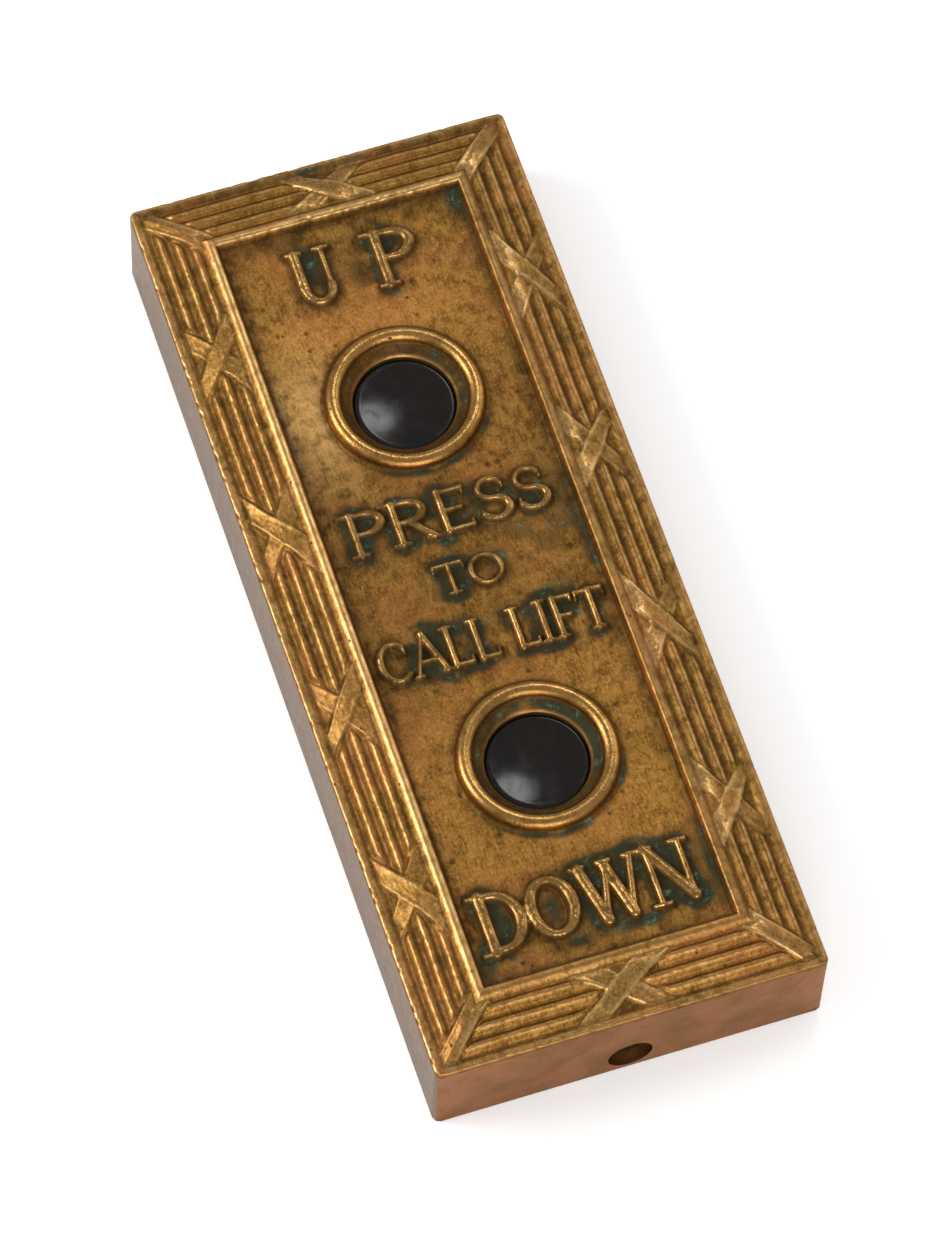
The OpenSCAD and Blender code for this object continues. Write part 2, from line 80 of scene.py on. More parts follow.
class PlateSizes(bpy.types.PropertyGroup):
    """Sizes of the plate, its border and its rings."""

    width: length("Width", "Width across the outer lip", 57.15)
    length: length("Length", "Length across the outer lip", 142.9)
    lip_height: length("Lip height", "Height of the outer lip above the wall", 15.9)
    lip_width: length("Lip width", "Width of the plain lip", 1.75)
    lip_round: length("Lip edge", "Radius of the worn outer edge", 0.42)
    corner: length("Corner", "Radius of the upright corners", 1.0)
    wall: length("Wall", "Thickness of the side walls", 3.0)
    face_back: length("Face back", "Height of the back of the face", 12.6)
    field: length("Field", "Height of the field", 16.4)
    reed_pitch: length("Reed pitch", "Distance from reed to reed", 2.15)
    reed_stand: length("Reed stand", "Height of the first reed over the lip", 0.6)
    reed_rise: length("Reed rise", "Rise from reed to reed", 0.55)
    groove: length("Groove", "Depth of the grooves between the reeds", 0.68)
    moulding: length("Moulding", "Height of the inner moulding", 18.0)
    moulding_width: length("Moulding width", "Width of the inner moulding", 1.85)
    bevel: length("Bevel", "Width of the slope down to the field", 0.55)
    ribbon: length("Ribbon", "Width of a ribbon", 2.85)
    ribbon_angle: FloatProperty(
        name="Ribbon angle", description="Lean of the ribbons", default=math.radians(54), subtype="ANGLE"
    )
    ribbon_pitch: length("Ribbon pitch", "Distance between crossings on the long sides", 29.5)
    corner_band: length("Corner band", "Width of the bands over the mitres", 2.8)
    button_y: length("Button place", "Distance of a button from the middle", 29.8)
    bore: length("Bore", "Radius of the button bores", 7.5)
    throat: length("Throat", "Outer radius of the conical throat", 9.15)
    edge_z: length("Bore edge", "Height of the sharp edge of the bore", 15.5)
    crest_at: length("Crest place", "Radius of the ring's crest line", 10.35)
    crest: length("Crest", "Rounding radius of the ring's crest", 1.25)
    crest_z: length("Crest height", "Height of the ring's crest", 18.2)
    edge_hole: length("Edge hole", "Radius of the holes in the end walls", 3.25)
    edge_hole_z: length("Edge hole height", "Height of those holes above the wall", 4.0)


class ButtonSizes(bpy.types.PropertyGroup):
    """Sizes of the button caps and the return springs."""

    cap: length("Cap", "Radius of a button cap", 7.4)
    rim_z: length("Rim", "Height of the cap's rim", 14.9)
    dish: length("Dish", "Depth of the finger dish", 0.5)
    flange: length("Flange", "Radius of the flange behind the face", 9.0)
    flange_low: length("Flange back", "Height of the flange's back", 11.3)
    flange_top: length("Flange front", "Height of the flange's front", 12.5)
    inside: length("Inside", "Radius of the hollow in the cap", 5.7)
    roof: length("Roof", "Height of the roof over the hollow", 13.1)
    stem: length("Stem", "Radius of the stem", 1.6)
    stem_seat: length("Stem seat", "Depth of the stem's seat in the roof", 0.6)
    spring: length("Spring", "Radius of the spring at its wire's middle", 4.2)
    wire: length("Wire", "Thickness of the spring wire", 0.5)
    seat: length("Seat", "Height of the spring's seat", 8.65)
    travel: length("Travel", "Travel of a button", 1.5)
    turns: IntProperty(name="Turns", description="Turns of the spring", default=4, min=2, max=8)


class Lettering(bpy.types.PropertyGroup):
    """Sizes of the raised letters."""

    word: length("Word height", "Height of the capitals beside the buttons", 9.2)
    upper: length("First line", "Height of the capitals of the first line", 6.9)
    middle: length("Second line", "Height of the capitals of the second line", 4.9)
    lower: length("Third line", "Height of the capitals of the third line", 6.5)
    relief: length("Relief", "Height of the letters above the field", 1.2)


class Finishes(bpy.types.PropertyGroup):
    """Colours of the materials."""

    bronze: colour("Bronze", "Aged bronze", 0.36, 0.178, 0.036)
    bronze_dark: colour("Dark bronze", "Brown patina", 0.17, 0.076, 0.012)
    # Worn bronze also colours the painted highlights: letter edges, the left lip and moulding, and left of
    # the upper ring
    bronze_worn: colour("Worn bronze", "Rubbed bronze on raised edges", 0.62, 0.375, 0.13)
    copper: colour("Copper", "Reddish patches", 0.42, 0.166, 0.046)
    # Grime also colours the painted shade at the feet of letters, border and rings, along the left edge, in
    # the wall holes and on the left ribbons
    grime: colour("Grime", "Old wax and dirt in the hollows", 0.045, 0.023, 0.007)
    verdigris: colour("Verdigris", "Green corrosion", 0.026, 0.033, 0.017)
    wall: colour("Wall metal", "Plain side walls", 0.3, 0.117, 0.052)
    bloom: colour("Verdigris bloom", "Pale crust of the corrosion", 0.1, 0.19, 0.13)
    # Grey painted reflection of the pale floor, laid on the left wall
    film: colour("Grey film", "Dull film on the left wall", 0.16, 0.133, 0.118)
    hard_rubber: colour("Hard rubber", "Black hard rubber", 0.007, 0.0052, 0.004)
    steel: colour("Steel", "Plated steel", 0.52, 0.51, 0.49)
    spring_steel: colour("Spring steel", "Blued spring steel", 0.3, 0.31, 0.33)
    fibre: colour("Fibre", "Vulcanised fibre", 0.16, 0.035, 0.022)
    rubber: colour("Rubber", "Soft rubber", 0.03, 0.028, 0.027)
    contact: colour("Contact bronze", "Rolled contact bronze", 0.66, 0.4, 0.2)
    silver: colour("Silver", "Contact silver", 0.82, 0.8, 0.76)
    brass: colour("Brass", "Turned brass", 0.72, 0.52, 0.22)


class Studio(bpy.types.PropertyGroup):
    """Camera, lights and floor."""

    lens: FloatProperty(name="Lens", description="Focal length", default=203.65, unit="CAMERA")
    eye: FloatVectorProperty(
        name="Camera",
        description="Place of the camera",
        default=(-0.165215, -0.420751, 0.896492),
        subtype="TRANSLATION",
    )
    right: power("Right light", "Power of the light on the right", 1.0)
    left: power("Left light", "Power of the light on the left", 4.3)
    front: power("Front light", "Power of the light in front", 3.8)
    accent: power("Accent light", "Power of the small light behind", 1.2)
    room: FloatProperty(name="Room light", description="Strength of the light all round", default=0.5, min=0)
    floor: colour("Floor", "Colour of the floor", 0.9, 0.9, 0.9)
    glow: FloatProperty(name="Floor glow", description="Light from under the floor", default=0.3, min=0)


def own_properties(group):
    """The properties of a group that its class names."""
    return [prop for prop in group.bl_rna.properties if prop.identifier not in ("rna_type", "name")]


def millimetres(group):
    """The group's values as plain numbers: lengths in millimetres, other values as they are."""
    values = {}
    for prop in own_properties(group):
        value = getattr(group, prop.identifier)
        values[prop.identifier] = value * 1000 if prop.unit == "LENGTH" else value
    return SimpleNamespace(**values)


def plate_sizes(context):
    """Sizes of the plate in millimetres, with the lines that follow from them.

    Counted inwards from the outer edge: first is the crest of the first reed, inner the end of the reeds,
    middle their middle, crown the moulding's inner edge and border the whole width. half_w and half_l are
    half the field's width and length, foot is the outer radius of a ring.
    """
    s = millimetres(context.scene.call_plate)
    s.slope = s.reed_rise / s.reed_pitch
    s.first = s.lip_width + s.reed_pitch / 2
    s.inner = s.lip_width + 3 * s.reed_pitch
    s.middle = (s.lip_width + s.inner) / 2
    s.crown = s.inner + s.moulding_width
    s.border = s.crown + s.bevel
    s.half_w = s.width / 2 - s.border
    s.half_l = s.length / 2 - s.border
    s.foot = s.crest_at + s.crest
    return s


def buttons(s):
    """The two buttons: name and place along the plate."""
    return (("up", s.button_y), ("down", -s.button_y))


# Shared mathematics; the last number of every noise call is its seed


LATTICE = 89
LATTICE_START = 400.5


def ramp(x, low, high):
    """Smooth step from 0 at low to 1 at high: 3t^2 - 2t^3 of the clipped share t."""
    t = np.clip((x - low) / (high - low), 0, 1)
    return t * t * (3 - 2 * t)


def bell(x, reach):
    """Bell curve: 1 at x = 0, 1/e where x equals the reach."""
    return np.exp(-((x / reach) ** 2))


def fading(x, reach):
    """Exponential fall from 1 at x = 0, 1/e where x equals the reach; 1 below 0."""
    return np.exp(-np.maximum(x, 0) / reach)


def smooth_max(a, b, k):
    """Larger of a and b with a rounded change-over: half of a + b + root((a - b)^2 + k^2)."""
    return 0.5 * (a + b + np.sqrt((a - b) ** 2 + k * k))


def value_noise(x, y, cell, seed):
    """Seeded heights on a square lattice of the given cell, joined by a quintic; from -1 to 1."""
    lattice = np.random.default_rng(seed).uniform(-1, 1, (LATTICE, LATTICE))
    u, v = x / cell + LATTICE_START, y / cell + LATTICE_START
    i, j = np.floor(u).astype(int), np.floor(v).astype(int)
    f, g = (t * t * t * (t * (t * 6 - 15) + 10) for t in (u - i, v - j))
    corner = [[lattice[(i + a) % LATTICE, (j + b) % LATTICE] for b in (0, 1)] for a in (0, 1)]
    low = corner[0][0] * (1 - f) + corner[1][0] * f
    high = corner[0][1] * (1 - f) + corner[1][1] * f
    return low * (1 - g) + high * g


def rough_noise(x, y, cell, seed):
    """Three octaves of value noise, each half as large and half as strong as the one before."""
    return sum(value_noise(x, y, cell / 2**k, seed + k) / 2**k for k in range(3))


def blurred(h, reach):
    """Mean of h over a square of 2 reach + 1 steps, taken twice along each way by running sums."""
    window = 2 * reach + 1
    for axis in (0, 1, 0, 1):
        pad = [(0, 0), (0, 0)]
        pad[axis] = (reach + 1, reach)
        total = np.cumsum(np.pad(h, pad, mode="edge"), axis=axis)
        count = h.shape[axis]
        upper = np.take(total, np.arange(window, window + count), axis=axis)
        lower = np.take(total, np.arange(count), axis=axis)
        h = (upper - lower) / window
    return h


def relief_marks(z, reach, scale):
    """Edge and hollow masks: how far a point stands over or under the mean of its surroundings."""
    over = (z - blurred(z, reach)) / scale
    return np.clip(over, 0, 1), np.clip(-over, 0, 1)


# Meshes


def signed_volume(points, quads, caps):
    """Volume inside the faces by the divergence theorem, positive when they point outwards."""
    sides = [quads[:, [0, 1, 2]], quads[:, [0, 2, 3]]]
    for cap in caps:
        sides.append(np.stack([np.full(len(cap) - 2, cap[0]), cap[1:-1], cap[2:]], axis=1))
    a, b, c = (points[np.concatenate(sides)[:, k]] for k in range(3))
    return float(np.einsum("ij,ij->i", a, np.cross(b, c)).sum() / 6)


def new_piece(name, surface, finish, body, node, crease=40):
    """Mesh turned outwards, given its finish and tied to its body, with the CAD node it stands for hidden.

    The surface is its points in millimetres, its quads, its end caps and its marks, one value a point.
    """
    points, quads, caps, marks = surface
    points, quads = np.asarray(points, float).reshape(-1, 3), np.asarray(quads, int)
    if signed_volume(points, quads, caps) < 0:
        quads, caps = quads[:, ::-1], [cap[::-1] for cap in caps]
    mesh = bpy.data.meshes.new(name)
    mesh.vertices.add(len(points))
    mesh.vertices.foreach_set("co", (points / 1000).astype(np.float32).ravel())
    corners = np.concatenate([quads.ravel()] + [np.asarray(cap, int) for cap in caps])
    sizes = np.concatenate([np.full(len(quads), 4), [len(cap) for cap in caps]]).astype(int)
    mesh.loops.add(len(corners))
    mesh.loops.foreach_set("vertex_index", corners.astype(np.int32))
    mesh.polygons.add(len(sizes))
    mesh.polygons.foreach_set("loop_start", np.concatenate([[0], np.cumsum(sizes)[:-1]]).astype(np.int32))
    mesh.update(calc_edges=True)
    if mesh.validate():
        raise RuntimeError(f"{name} has faulty faces")
    for mark, values in marks.items():
        store = mesh.attributes.new(mark, "FLOAT", "POINT")
        store.data.foreach_set("value", np.asarray(values, np.float32).ravel())
    mesh.shade_smooth()
    mesh.set_sharp_from_angle(angle=math.radians(crease))
    mesh.materials.append(finish)
    piece = bpy.data.objects.new(name, mesh)
    bpy.context.scene.collection.objects.link(piece)
    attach(piece, body)
    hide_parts(node)
    return piece


def xyz(x, y, z):
    """Points from coordinates of shapes that fit each other."""
    return np.stack(np.broadcast_arrays(x, y, z), axis=-1)


def grid_quads(rows, columns, close_rows=False, close_columns=False):
    """Faces of a rows x columns grid of points, joined round where a way is closed."""
    index = np.arange(rows * columns).reshape(rows, columns)
    if close_rows:
        index = np.concatenate([index, index[:1]], axis=0)
    if close_columns:
        index = np.concatenate([index, index[:, :1]], axis=1)
    return np.stack([index[:-1, :-1], index[1:, :-1], index[1:, 1:], index[:-1, 1:]], axis=-1).reshape(-1, 4)


def ring_shaped(points, marks):
    """Surface of a grid that is closed both ways."""
    return points, grid_quads(*points.shape[:2], True, True), [], marks


def tube_shaped(points, marks):
    """Surface of a grid whose rows are closed loops, with a cap on the first and the last row."""
    rows, columns = points.shape[:2]
    caps = [np.arange(columns), np.arange((rows - 1) * columns, rows * columns)[::-1]]
    return points, grid_quads(rows, columns, close_columns=True), caps, marks


def revolved(profile, steps, y):
    """Profile (radius, height) turned round an upright axis at y, with one row of points for each step."""
    turn = np.linspace(0, 2 * math.pi, steps, endpoint=False)[:, None]
    r, z = profile[:, 0][None, :], profile[:, 1][None, :]
    return xyz(r * np.cos(turn), y + r * np.sin(turn), z)


def arc(centre, radius, start, end, steps):
    """Points of a circular arc in the profile plane, angles in degrees."""
    angle = np.radians(np.linspace(start, end, steps))
    return np.stack([centre[0] + radius * np.cos(angle), centre[1] + radius * np.sin(angle)], axis=1)


def divided(points, counts):
    """Polyline without its last point, each of its pieces divided into the given number of steps."""
    parts = [np.linspace(points[i], points[i + 1], n, endpoint=False) for i, n in enumerate(counts)]
    return np.concatenate(parts)


def filled(points, step):
    """Polyline with points added so that no piece of it is longer than step."""
    points = np.asarray(points, float)
    reach = np.linalg.norm(np.diff(points, axis=0), axis=1)
    count = np.maximum(1, np.ceil(reach / step)).astype(int)
    return np.concatenate([divided(points, count), points[-1:]])


def box_outline(right, low, high, upright, level):
    """Points round a rectangle from its lower right corner; upright and level are counts for its sides."""
    corners = np.array([[right, low], [right, high], [-right, high], [-right, low], [right, low]])
    return divided(corners, (upright, level, upright, level))


# Sides of the plate


LONG_SIDES = ("right", "left")
SIDES = LONG_SIDES + ("top", "bottom")
WALL_ROWS, WALL_STEP = 14, 0.8


def side_length(side, s):
    """Outer length of a side of the plate."""
    return s.length if side in LONG_SIDES else s.width


def side_plan(side, along, inward, s):
    """Plate coordinates of a point from its way along a side and its distance from the outer plane."""
    if side == "right":
        return s.width / 2 - inward, along
    if side == "left":
        return inward - s.width / 2, -along
    if side == "top":
        return -along, s.length / 2 - inward
    return along, inward - s.length / 2


def contour_half(e, reach, r):
    """Half the length of the contour that lies e inside a side's outer edge, with corner radius r."""
    return np.where(e < r, reach / 2 - r + np.maximum(r - e, 0) * math.pi / 4, reach / 2 - e)


def contour(share, e, reach, r):
    """Point at a share of the contour that lies e inside the outer edge, from mitre to mitre.

    Inside the corner radius r the contour is straight and turns by half a right angle at each end;
    further in it is straight and ends on the mitre, at half the length minus e.
    """
    flat = reach / 2 - r
    bend = np.maximum(r - e, 0)
    s = share * contour_half(e, reach, r)
    turn = np.where(e < r, np.maximum(np.abs(s) - flat, 0) / np.maximum(bend, 1e-9), 0)
    along = np.where(e < r, np.minimum(np.abs(s), flat) + bend * np.sin(turn), np.abs(s))
    inward = np.where(e < r, r - bend * np.cos(turn), e)
    return np.sign(s) * along, np.where(np.abs(turn) > 0, inward, e)


def crossings(side, s):
    """Places along a side where two ribbons cross, with the lean of the upper one."""
    if side in LONG_SIDES:
        return [((i - 1.5) * s.ribbon_pitch, 1 if i % 2 == 0 else -1) for i in range(4)]
    return [(0.0, 1 if side == "top" else -1)]


def field_wave(x, y):
    """Uneven casting skin: long waves, a middle wave and fine grain."""
    fine = 0.014 * rough_noise(x, y, 1.6, 21) + 0.008 * rough_noise(x, y, 0.45, 31)
    return 0.035 * value_noise(x, y, 9, 11) + fine


def reed_line(e, s):
    """Height of the sloping line that the crests of the reeds touch."""
    return s.lip_height + s.reed_stand + (e - s.first) * s.slope


def border_profile(e, s):
    """Height of the border without reeds: rounded lip, sloping bed, moulding and bevel.

    The corners of the polyline are rounded by a bell-shaped mean, and the lip's edge is a quarter circle.
    """
    step, deviation, reach, margin = 0.01, 0.1, 40, 2
    corners = np.array([
        (-margin, s.lip_height),
        (s.lip_width - 0.75, s.lip_height),
        (s.lip_width, reed_line(s.lip_width, s) - s.groove),
        (s.inner, reed_line(s.inner, s) - s.groove),
        (s.inner + 0.75, s.moulding - 0.14),
        (s.inner + 1.1, s.moulding),
        (s.crown - 0.1, s.moulding - 0.02),
        (s.crown + 0.1, s.moulding - 0.14),
        (s.border - 0.05, s.field + 0.16),
        (s.border + 0.4, s.field),
        (s.border + margin, s.field),
    ])
    fine = np.arange(-margin, s.border + margin, step)
    z = np.interp(fine, corners[:, 0], corners[:, 1])
    weights = np.exp(-0.5 * (np.arange(-reach, reach + 1) * step / deviation) ** 2)
    z = np.convolve(np.pad(z, reach, mode="edge"), weights / weights.sum(), mode="valid")
    fall = np.clip(s.lip_round - e, 0, s.lip_round)
    return np.interp(e, fine, z) - s.lip_round + np.sqrt(np.maximum(s.lip_round**2 - fall**2, 0))


def border_height(side, along, e, x, y, s):
    """Relief of one side: profile, reeds, crossing ribbons, corner bands and the casting skin.

    A reed is a rounded cosine between two grooves that dies out close to a ribbon. A ribbon is a band with
    low raised edges that bends down to the lip and to the moulding; the upper one covers the lower, and the
    pockets between the two are bare. A mean over the neighbours softens the whole, as a worn casting is.
    """
    crest = reed_line(e, s)
    base = border_profile(e, s)
    mitre = (side_length(side, s) / 2 - e - np.abs(along)) / math.sqrt(2)
    across = np.clip((e - s.middle) / (s.inner - s.middle), -1.2, 1.2)
    arch = crest - 0.28 * np.maximum(0.35 - across, 0) ** 2 - 0.5 * np.maximum(across, 0) ** 4
    arch = arch + 0.06 * value_noise(x, y, 2.4, 43)
    half = s.ribbon / 2 * (1 + 0.14 * across - 0.08 * across**2) * (1 + 0.08 * value_noise(x, y, 4, 44))

    # Bands from the lowest up: distance from the middle line, half width, stand, raised edge and its fall
    under_stand, over_stand, ribbon_edge, band_edge, edge_fall = -0.16, 0.04, 0.1, 0.11, 0.05
    bands = []
    clear = mitre - s.corner_band / 2
    pocket = np.zeros_like(base)
    cosine, sine = math.cos(s.ribbon_angle), math.sin(s.ribbon_angle)
    bow_reach, bow_strength = 7, 0.012
    for place, lean in crossings(side, s):
        p, q = along - place, e - s.middle
        bowed = bow_strength * lean * p * np.minimum(np.abs(p), bow_reach) * sine
        over = np.abs(p * cosine + lean * q * sine + bowed)
        under = np.abs(p * cosine - lean * q * sine)
        bands.append((under, half, under_stand, ribbon_edge, edge_fall))
        bands.append((over, half, over_stand, ribbon_edge, edge_fall))
        pocket = np.maximum(pocket, ramp(np.abs(q) * sine - np.abs(p) * cosine, 0.0, 0.4))
        clear = np.minimum(clear, np.minimum(over, under) - half)
    bands.append((mitre, s.corner_band / 2, over_stand, band_edge, 0.0))

    # Reeds
    turn = (e + 0.06 * value_noise(x, y, 7, 41) - s.first) / s.reed_pitch
    wave = (0.5 - 0.5 * np.cos(2 * math.pi * turn)) ** 1.2
    fade = ramp(clear, -0.1, 0.65) * (1 - pocket)
    inside = ramp(e, s.lip_width - 0.1, s.lip_width + 0.1) * (1 - ramp(e, s.inner - 0.1, s.inner + 0.1))
    bed = crest - s.groove * (0.9 - 0.25 * across)
    reed = crest + 0.06 * value_noise(x, y, 5, 42) - s.groove * wave
    z = base + inside * (bed + (reed - bed) * fade - base)

    # Ribbons and corner bands
    on_ribbon = np.zeros_like(z)
    kept = ramp(e, s.lip_width - 0.8, s.lip_width - 0.4) * (1 - ramp(e, s.inner + 0.25, s.inner + 0.75))
    for offset, wide, stand, edge, fall in bands:
        share = offset / wide
        top = arch + stand + edge * ramp(share, 0.55, 0.84) - fall * ramp(share, 0.9, 1.0)
        here = ramp(wide - offset, -0.14, 0.12) * kept
        z = z + here * (smooth_max(top, base, 0.08) - z)
        on_ribbon = np.maximum(on_ribbon, here)
    z = z + (blurred(z, 1) - z) * ramp(mitre, 0.0, 0.5) * ramp(e, 0.4, 0.8)

    # Casting skin, the uneven edge of the moulding and nicks in the lip
    bead = (0.07 if side == "top" else 0.02) * value_noise(x, y, 0.7, 51) * bell(e - s.crown, 0.45)
    nick = -0.2 * ramp(value_noise(x, y, 0.9, 52), 0.4, 0.95) * bell(e, 0.4)
    skin = 0.026 * rough_noise(x, y, 1.1, 53) + 0.018 * rough_noise(x, y, 0.45, 56)
    skin = skin * (1 - 0.5 * ramp(e, s.inner + 0.2, s.inner + 0.7))
    settle = ramp(e, s.crown, s.border)
    z = z + bead + nick + skin * (1 - settle) + field_wave(x, y) * settle
    line = bell((turn - np.round(turn)) * s.reed_pitch + 0.1, 0.18)
    return z, on_ribbon, inside * fade, line


# Wear and painted light of each side. reeds, lip, ribbon and moulding: dirt on them; spared: how far other
# dirt spares the reeds; crown: bright line on the moulding's edge; rubbed_and_highlight and inner_rub:
# rubbing of the ribbons, all over and towards the field; polish: of the ribbons; film: grey painted
# reflection of the floor on the wall; bright: brightness of the edges, with what the outer rim and the
# moulding add and what the ribbons take. On the left, what the outer rim and the moulding add is a painted
# highlight, and the ribbons' dirt and what they take is painted shade that tones down the left light.
WEAR_AND_LIGHT = {
    "left": SimpleNamespace(
        reeds=0.42, lip=0.4, ribbon=0.15, moulding=0.0, spared=0.55, crown=0.0, rubbed_and_highlight=0.06, inner_rub=0.0,
        polish=0.0, film=1.0, bright=0.75, rim_adds=0.7, moulding_adds=0.7, ribbon_takes=0.45,
    ),
    "right": SimpleNamespace(
        reeds=0.6, lip=0.5, ribbon=0.35, moulding=0.4, spared=0.8, crown=0.45, rubbed_and_highlight=0.0, inner_rub=1.0,
        polish=0.15, film=0.0, bright=1.0, rim_adds=-0.6, moulding_adds=-0.6, ribbon_takes=0.0,
    ),
    "top": SimpleNamespace(
        reeds=0.1, lip=0.85, ribbon=0.0, moulding=0.0, spared=0.85, crown=0.7, rubbed_and_highlight=0.55, inner_rub=0.0,
        polish=0.15, film=0.0, bright=1.0, rim_adds=-0.6, moulding_adds=0.3, ribbon_takes=0.0,
    ),
    "bottom": SimpleNamespace(
        reeds=0.2, lip=0.45, ribbon=0.0, moulding=0.2, spared=0.8, crown=0.1, rubbed_and_highlight=0.45, inner_rub=0.0,
        polish=0.15, film=0.0, bright=1.0, rim_adds=-0.5, moulding_adds=-0.5, ribbon_takes=0.0,
    ),
}


def border_marks(side, along, e, x, y, relief, s):
    """Marks of one side's relief: rubbed edges with painted highlights, dirt with painted shade, verdigris
    and polish, by the side's wear and painted light.
    """
    z, ribbon, reeded, line = relief
    wear_and_light = WEAR_AND_LIGHT[side]
    raised, hollow = relief_marks(z, reach=4, scale=0.11)
    broad_raised, broad_hollow = relief_marks(z, reach=11, scale=0.5)
    speckle = ramp(value_noise(x, y, 0.55, 57), -0.6, 0.5)
    outer_rim = 1 - ramp(e, 0.4, 0.8)
    moulding = ramp(e, s.inner + 0.2, s.inner + 0.6)
    towards_field = wear_and_light.inner_rub * ramp(e, s.middle + 1.2, s.middle + 2.6)

    edges = np.clip(0.6 * raised + 0.25 * broad_raised, 0, 1) * (1 - 0.85 * reeded)
    edges = edges * (1 - 0.6 * bell(e - s.crown, 0.4)) + 0.6 * reeded * line * speckle
    # On the left the outer rim and moulding add a painted highlight, and the ribbons take brightness away as
    # painted shade
    bright = wear_and_light.bright + wear_and_light.rim_adds * outer_rim + wear_and_light.moulding_adds * moulding
    bright = bright - wear_and_light.ribbon_takes * ribbon * (1 - outer_rim - moulding)
    crown_line = wear_and_light.crown * speckle * bell(e - s.crown - 0.05, 0.2)

    # Dirt with painted shade: darker in the hollows and on reeds, lip, ribbons and moulding; the left
    # ribbons' share is painted shade against the left light
    dirt_and_shade = np.clip(0.4 * hollow + 0.5 * broad_hollow, 0, 1) * (1 - wear_and_light.spared * reeded)
    dirt_and_shade = dirt_and_shade + wear_and_light.reeds * reeded * (1 - line)
    dirt_and_shade = dirt_and_shade + wear_and_light.lip * ramp(e, 0.4, 0.7) * (1 - ramp(e, s.lip_width - 0.6, s.lip_width))
    dirt_and_shade = dirt_and_shade + wear_and_light.ribbon * (1 - towards_field) * ribbon
    dirt_and_shade = dirt_and_shade + wear_and_light.moulding * moulding * (1 - ramp(e, s.crown - 0.2, s.crown))
    return {
        "raised": np.clip(edges * bright + crown_line, 0, 1),
        "hollow": dirt_and_shade,
        "green": border_green(side, along, e, x, y, dirt_and_shade * (1 - reeded), s),
        "ribbon": ribbon * (0.12 + 0.88 * (wear_and_light.rubbed_and_highlight + towards_field)),
        "plain": 1 - ramp(e, 0.0, 0.3),
        "polish": ribbon * wear_and_light.polish,
        "film": np.zeros_like(z),
    }


def border_green(side, along, e, x, y, dirt_and_shade, s):
    """Verdigris of the border: hollows beside the ribbons, the inner foot and a patch under the top lip."""
    green = 0.55 * dirt_and_shade * ramp(value_noise(x, y, 4, 61), 0.1, 0.7)
    green = green + ramp(e, s.crown + 0.3, s.border) * field_green(x, y, s)
    if side == "top":
        green = green + 0.6 * dirt_and_shade * bell(along, 9) * (e < 3)
    return np.clip(green, 0, 1)


def border_side(side, s):
    """One mitred side of the border: its relief, and a plain back at the height of the face's back.

    The grid runs along the contours from mitre to mitre, and across from the outer wall over the relief
    to the field and back underneath, so each row is a closed loop.
    """
    row_step, columns, wall_rows = 0.2, 101, 5
    reach = side_length(side, s)
    share = np.linspace(-1, 1, int(round(reach / row_step)) + 1)[:, None]
    edge = s.lip_round * (1 - np.cos(np.radians(np.arange(0, 90, 15))))
    e = np.concatenate([edge, np.linspace(s.lip_round, s.border, columns)])[None, :]
    e = np.broadcast_to(e, (len(share), e.shape[1]))
    along, inward = contour(share, e, reach, s.corner)
    x, y = side_plan(side, along, inward, s)
    relief = border_height(side, along, e, x, y, s)
    marks = border_marks(side, along, e, x, y, relief, s)
    low = np.linspace(s.face_back, s.lip_height - s.lip_round, wall_rows + 1)[:-1]
    wall = xyz(x[:, :1], y[:, :1], low[None, :])
    foot = xyz(x[:, -1:], y[:, -1:], s.face_back)
    points = np.concatenate([wall, xyz(x, y, relief[0]), foot], axis=1)
    # The outer face takes the side's grey painted reflection of the floor, which only the left side has
    on_wall = {"plain": 1.0, "film": WEAR_AND_LIGHT[side].film}
    for name, values in marks.items():
        wall_values = np.full((len(share), wall_rows), on_wall.get(name, 0.0))
        marks[name] = np.concatenate([wall_values, values, values[:, -1:]], axis=1)
    return tube_shaped(points, marks)


def end_wall(side, s):
    """Lower wall of a short side: a ring of faces between its screw hole and the wall's outline.

    One way goes round the outline, the other from the hole over the outer face, across the rim, back
    over the inner face and through the hole.
    """
    reach, mid = side_length(side, s), s.edge_hole_z
    rim = box_outline(1, -mid, s.face_back - mid, WALL_ROWS, int(reach / WALL_STEP))
    flat = rim * (reach / 2, 1)
    hole = s.edge_hole * flat / np.linalg.norm(flat, axis=1, keepdims=True)
    steps, crowding = 26, 1.6
    t = (np.linspace(0, 1, steps) ** crowding)[None, :, None]

    def face(e):
        """Face at a depth e: straight blend from the hole to the outline, carried onto the contour."""
        half = contour_half(e, reach, s.corner)
        blend = hole[:, None, :] * (1 - t) + (rim * (half, 1))[:, None, :] * t
        along, inward = contour(blend[..., 0] / half, np.full(blend.shape[:2], e), reach, s.corner)
        return xyz(*side_plan(side, along, inward, s), blend[..., 1] + mid)

    return np.concatenate([face(0.0), face(s.wall)[:, ::-1]], axis=1)


def long_wall(side, s):
    """Lower wall of a long side: a rectangle of wall thickness and height carried along the contours."""
    reach = side_length(side, s)
    share = np.linspace(-1, 1, int(reach / WALL_STEP))[:, None]
    z = np.linspace(s.face_back, 0, WALL_ROWS)
    e = np.repeat([0.0, s.wall], WALL_ROWS)[None, :]
    along, inward = contour(share, np.broadcast_to(e, (len(share), 2 * WALL_ROWS)), reach, s.corner)
    return xyz(*side_plan(side, along, inward, s), np.concatenate([z, z[::-1]])[None, :])


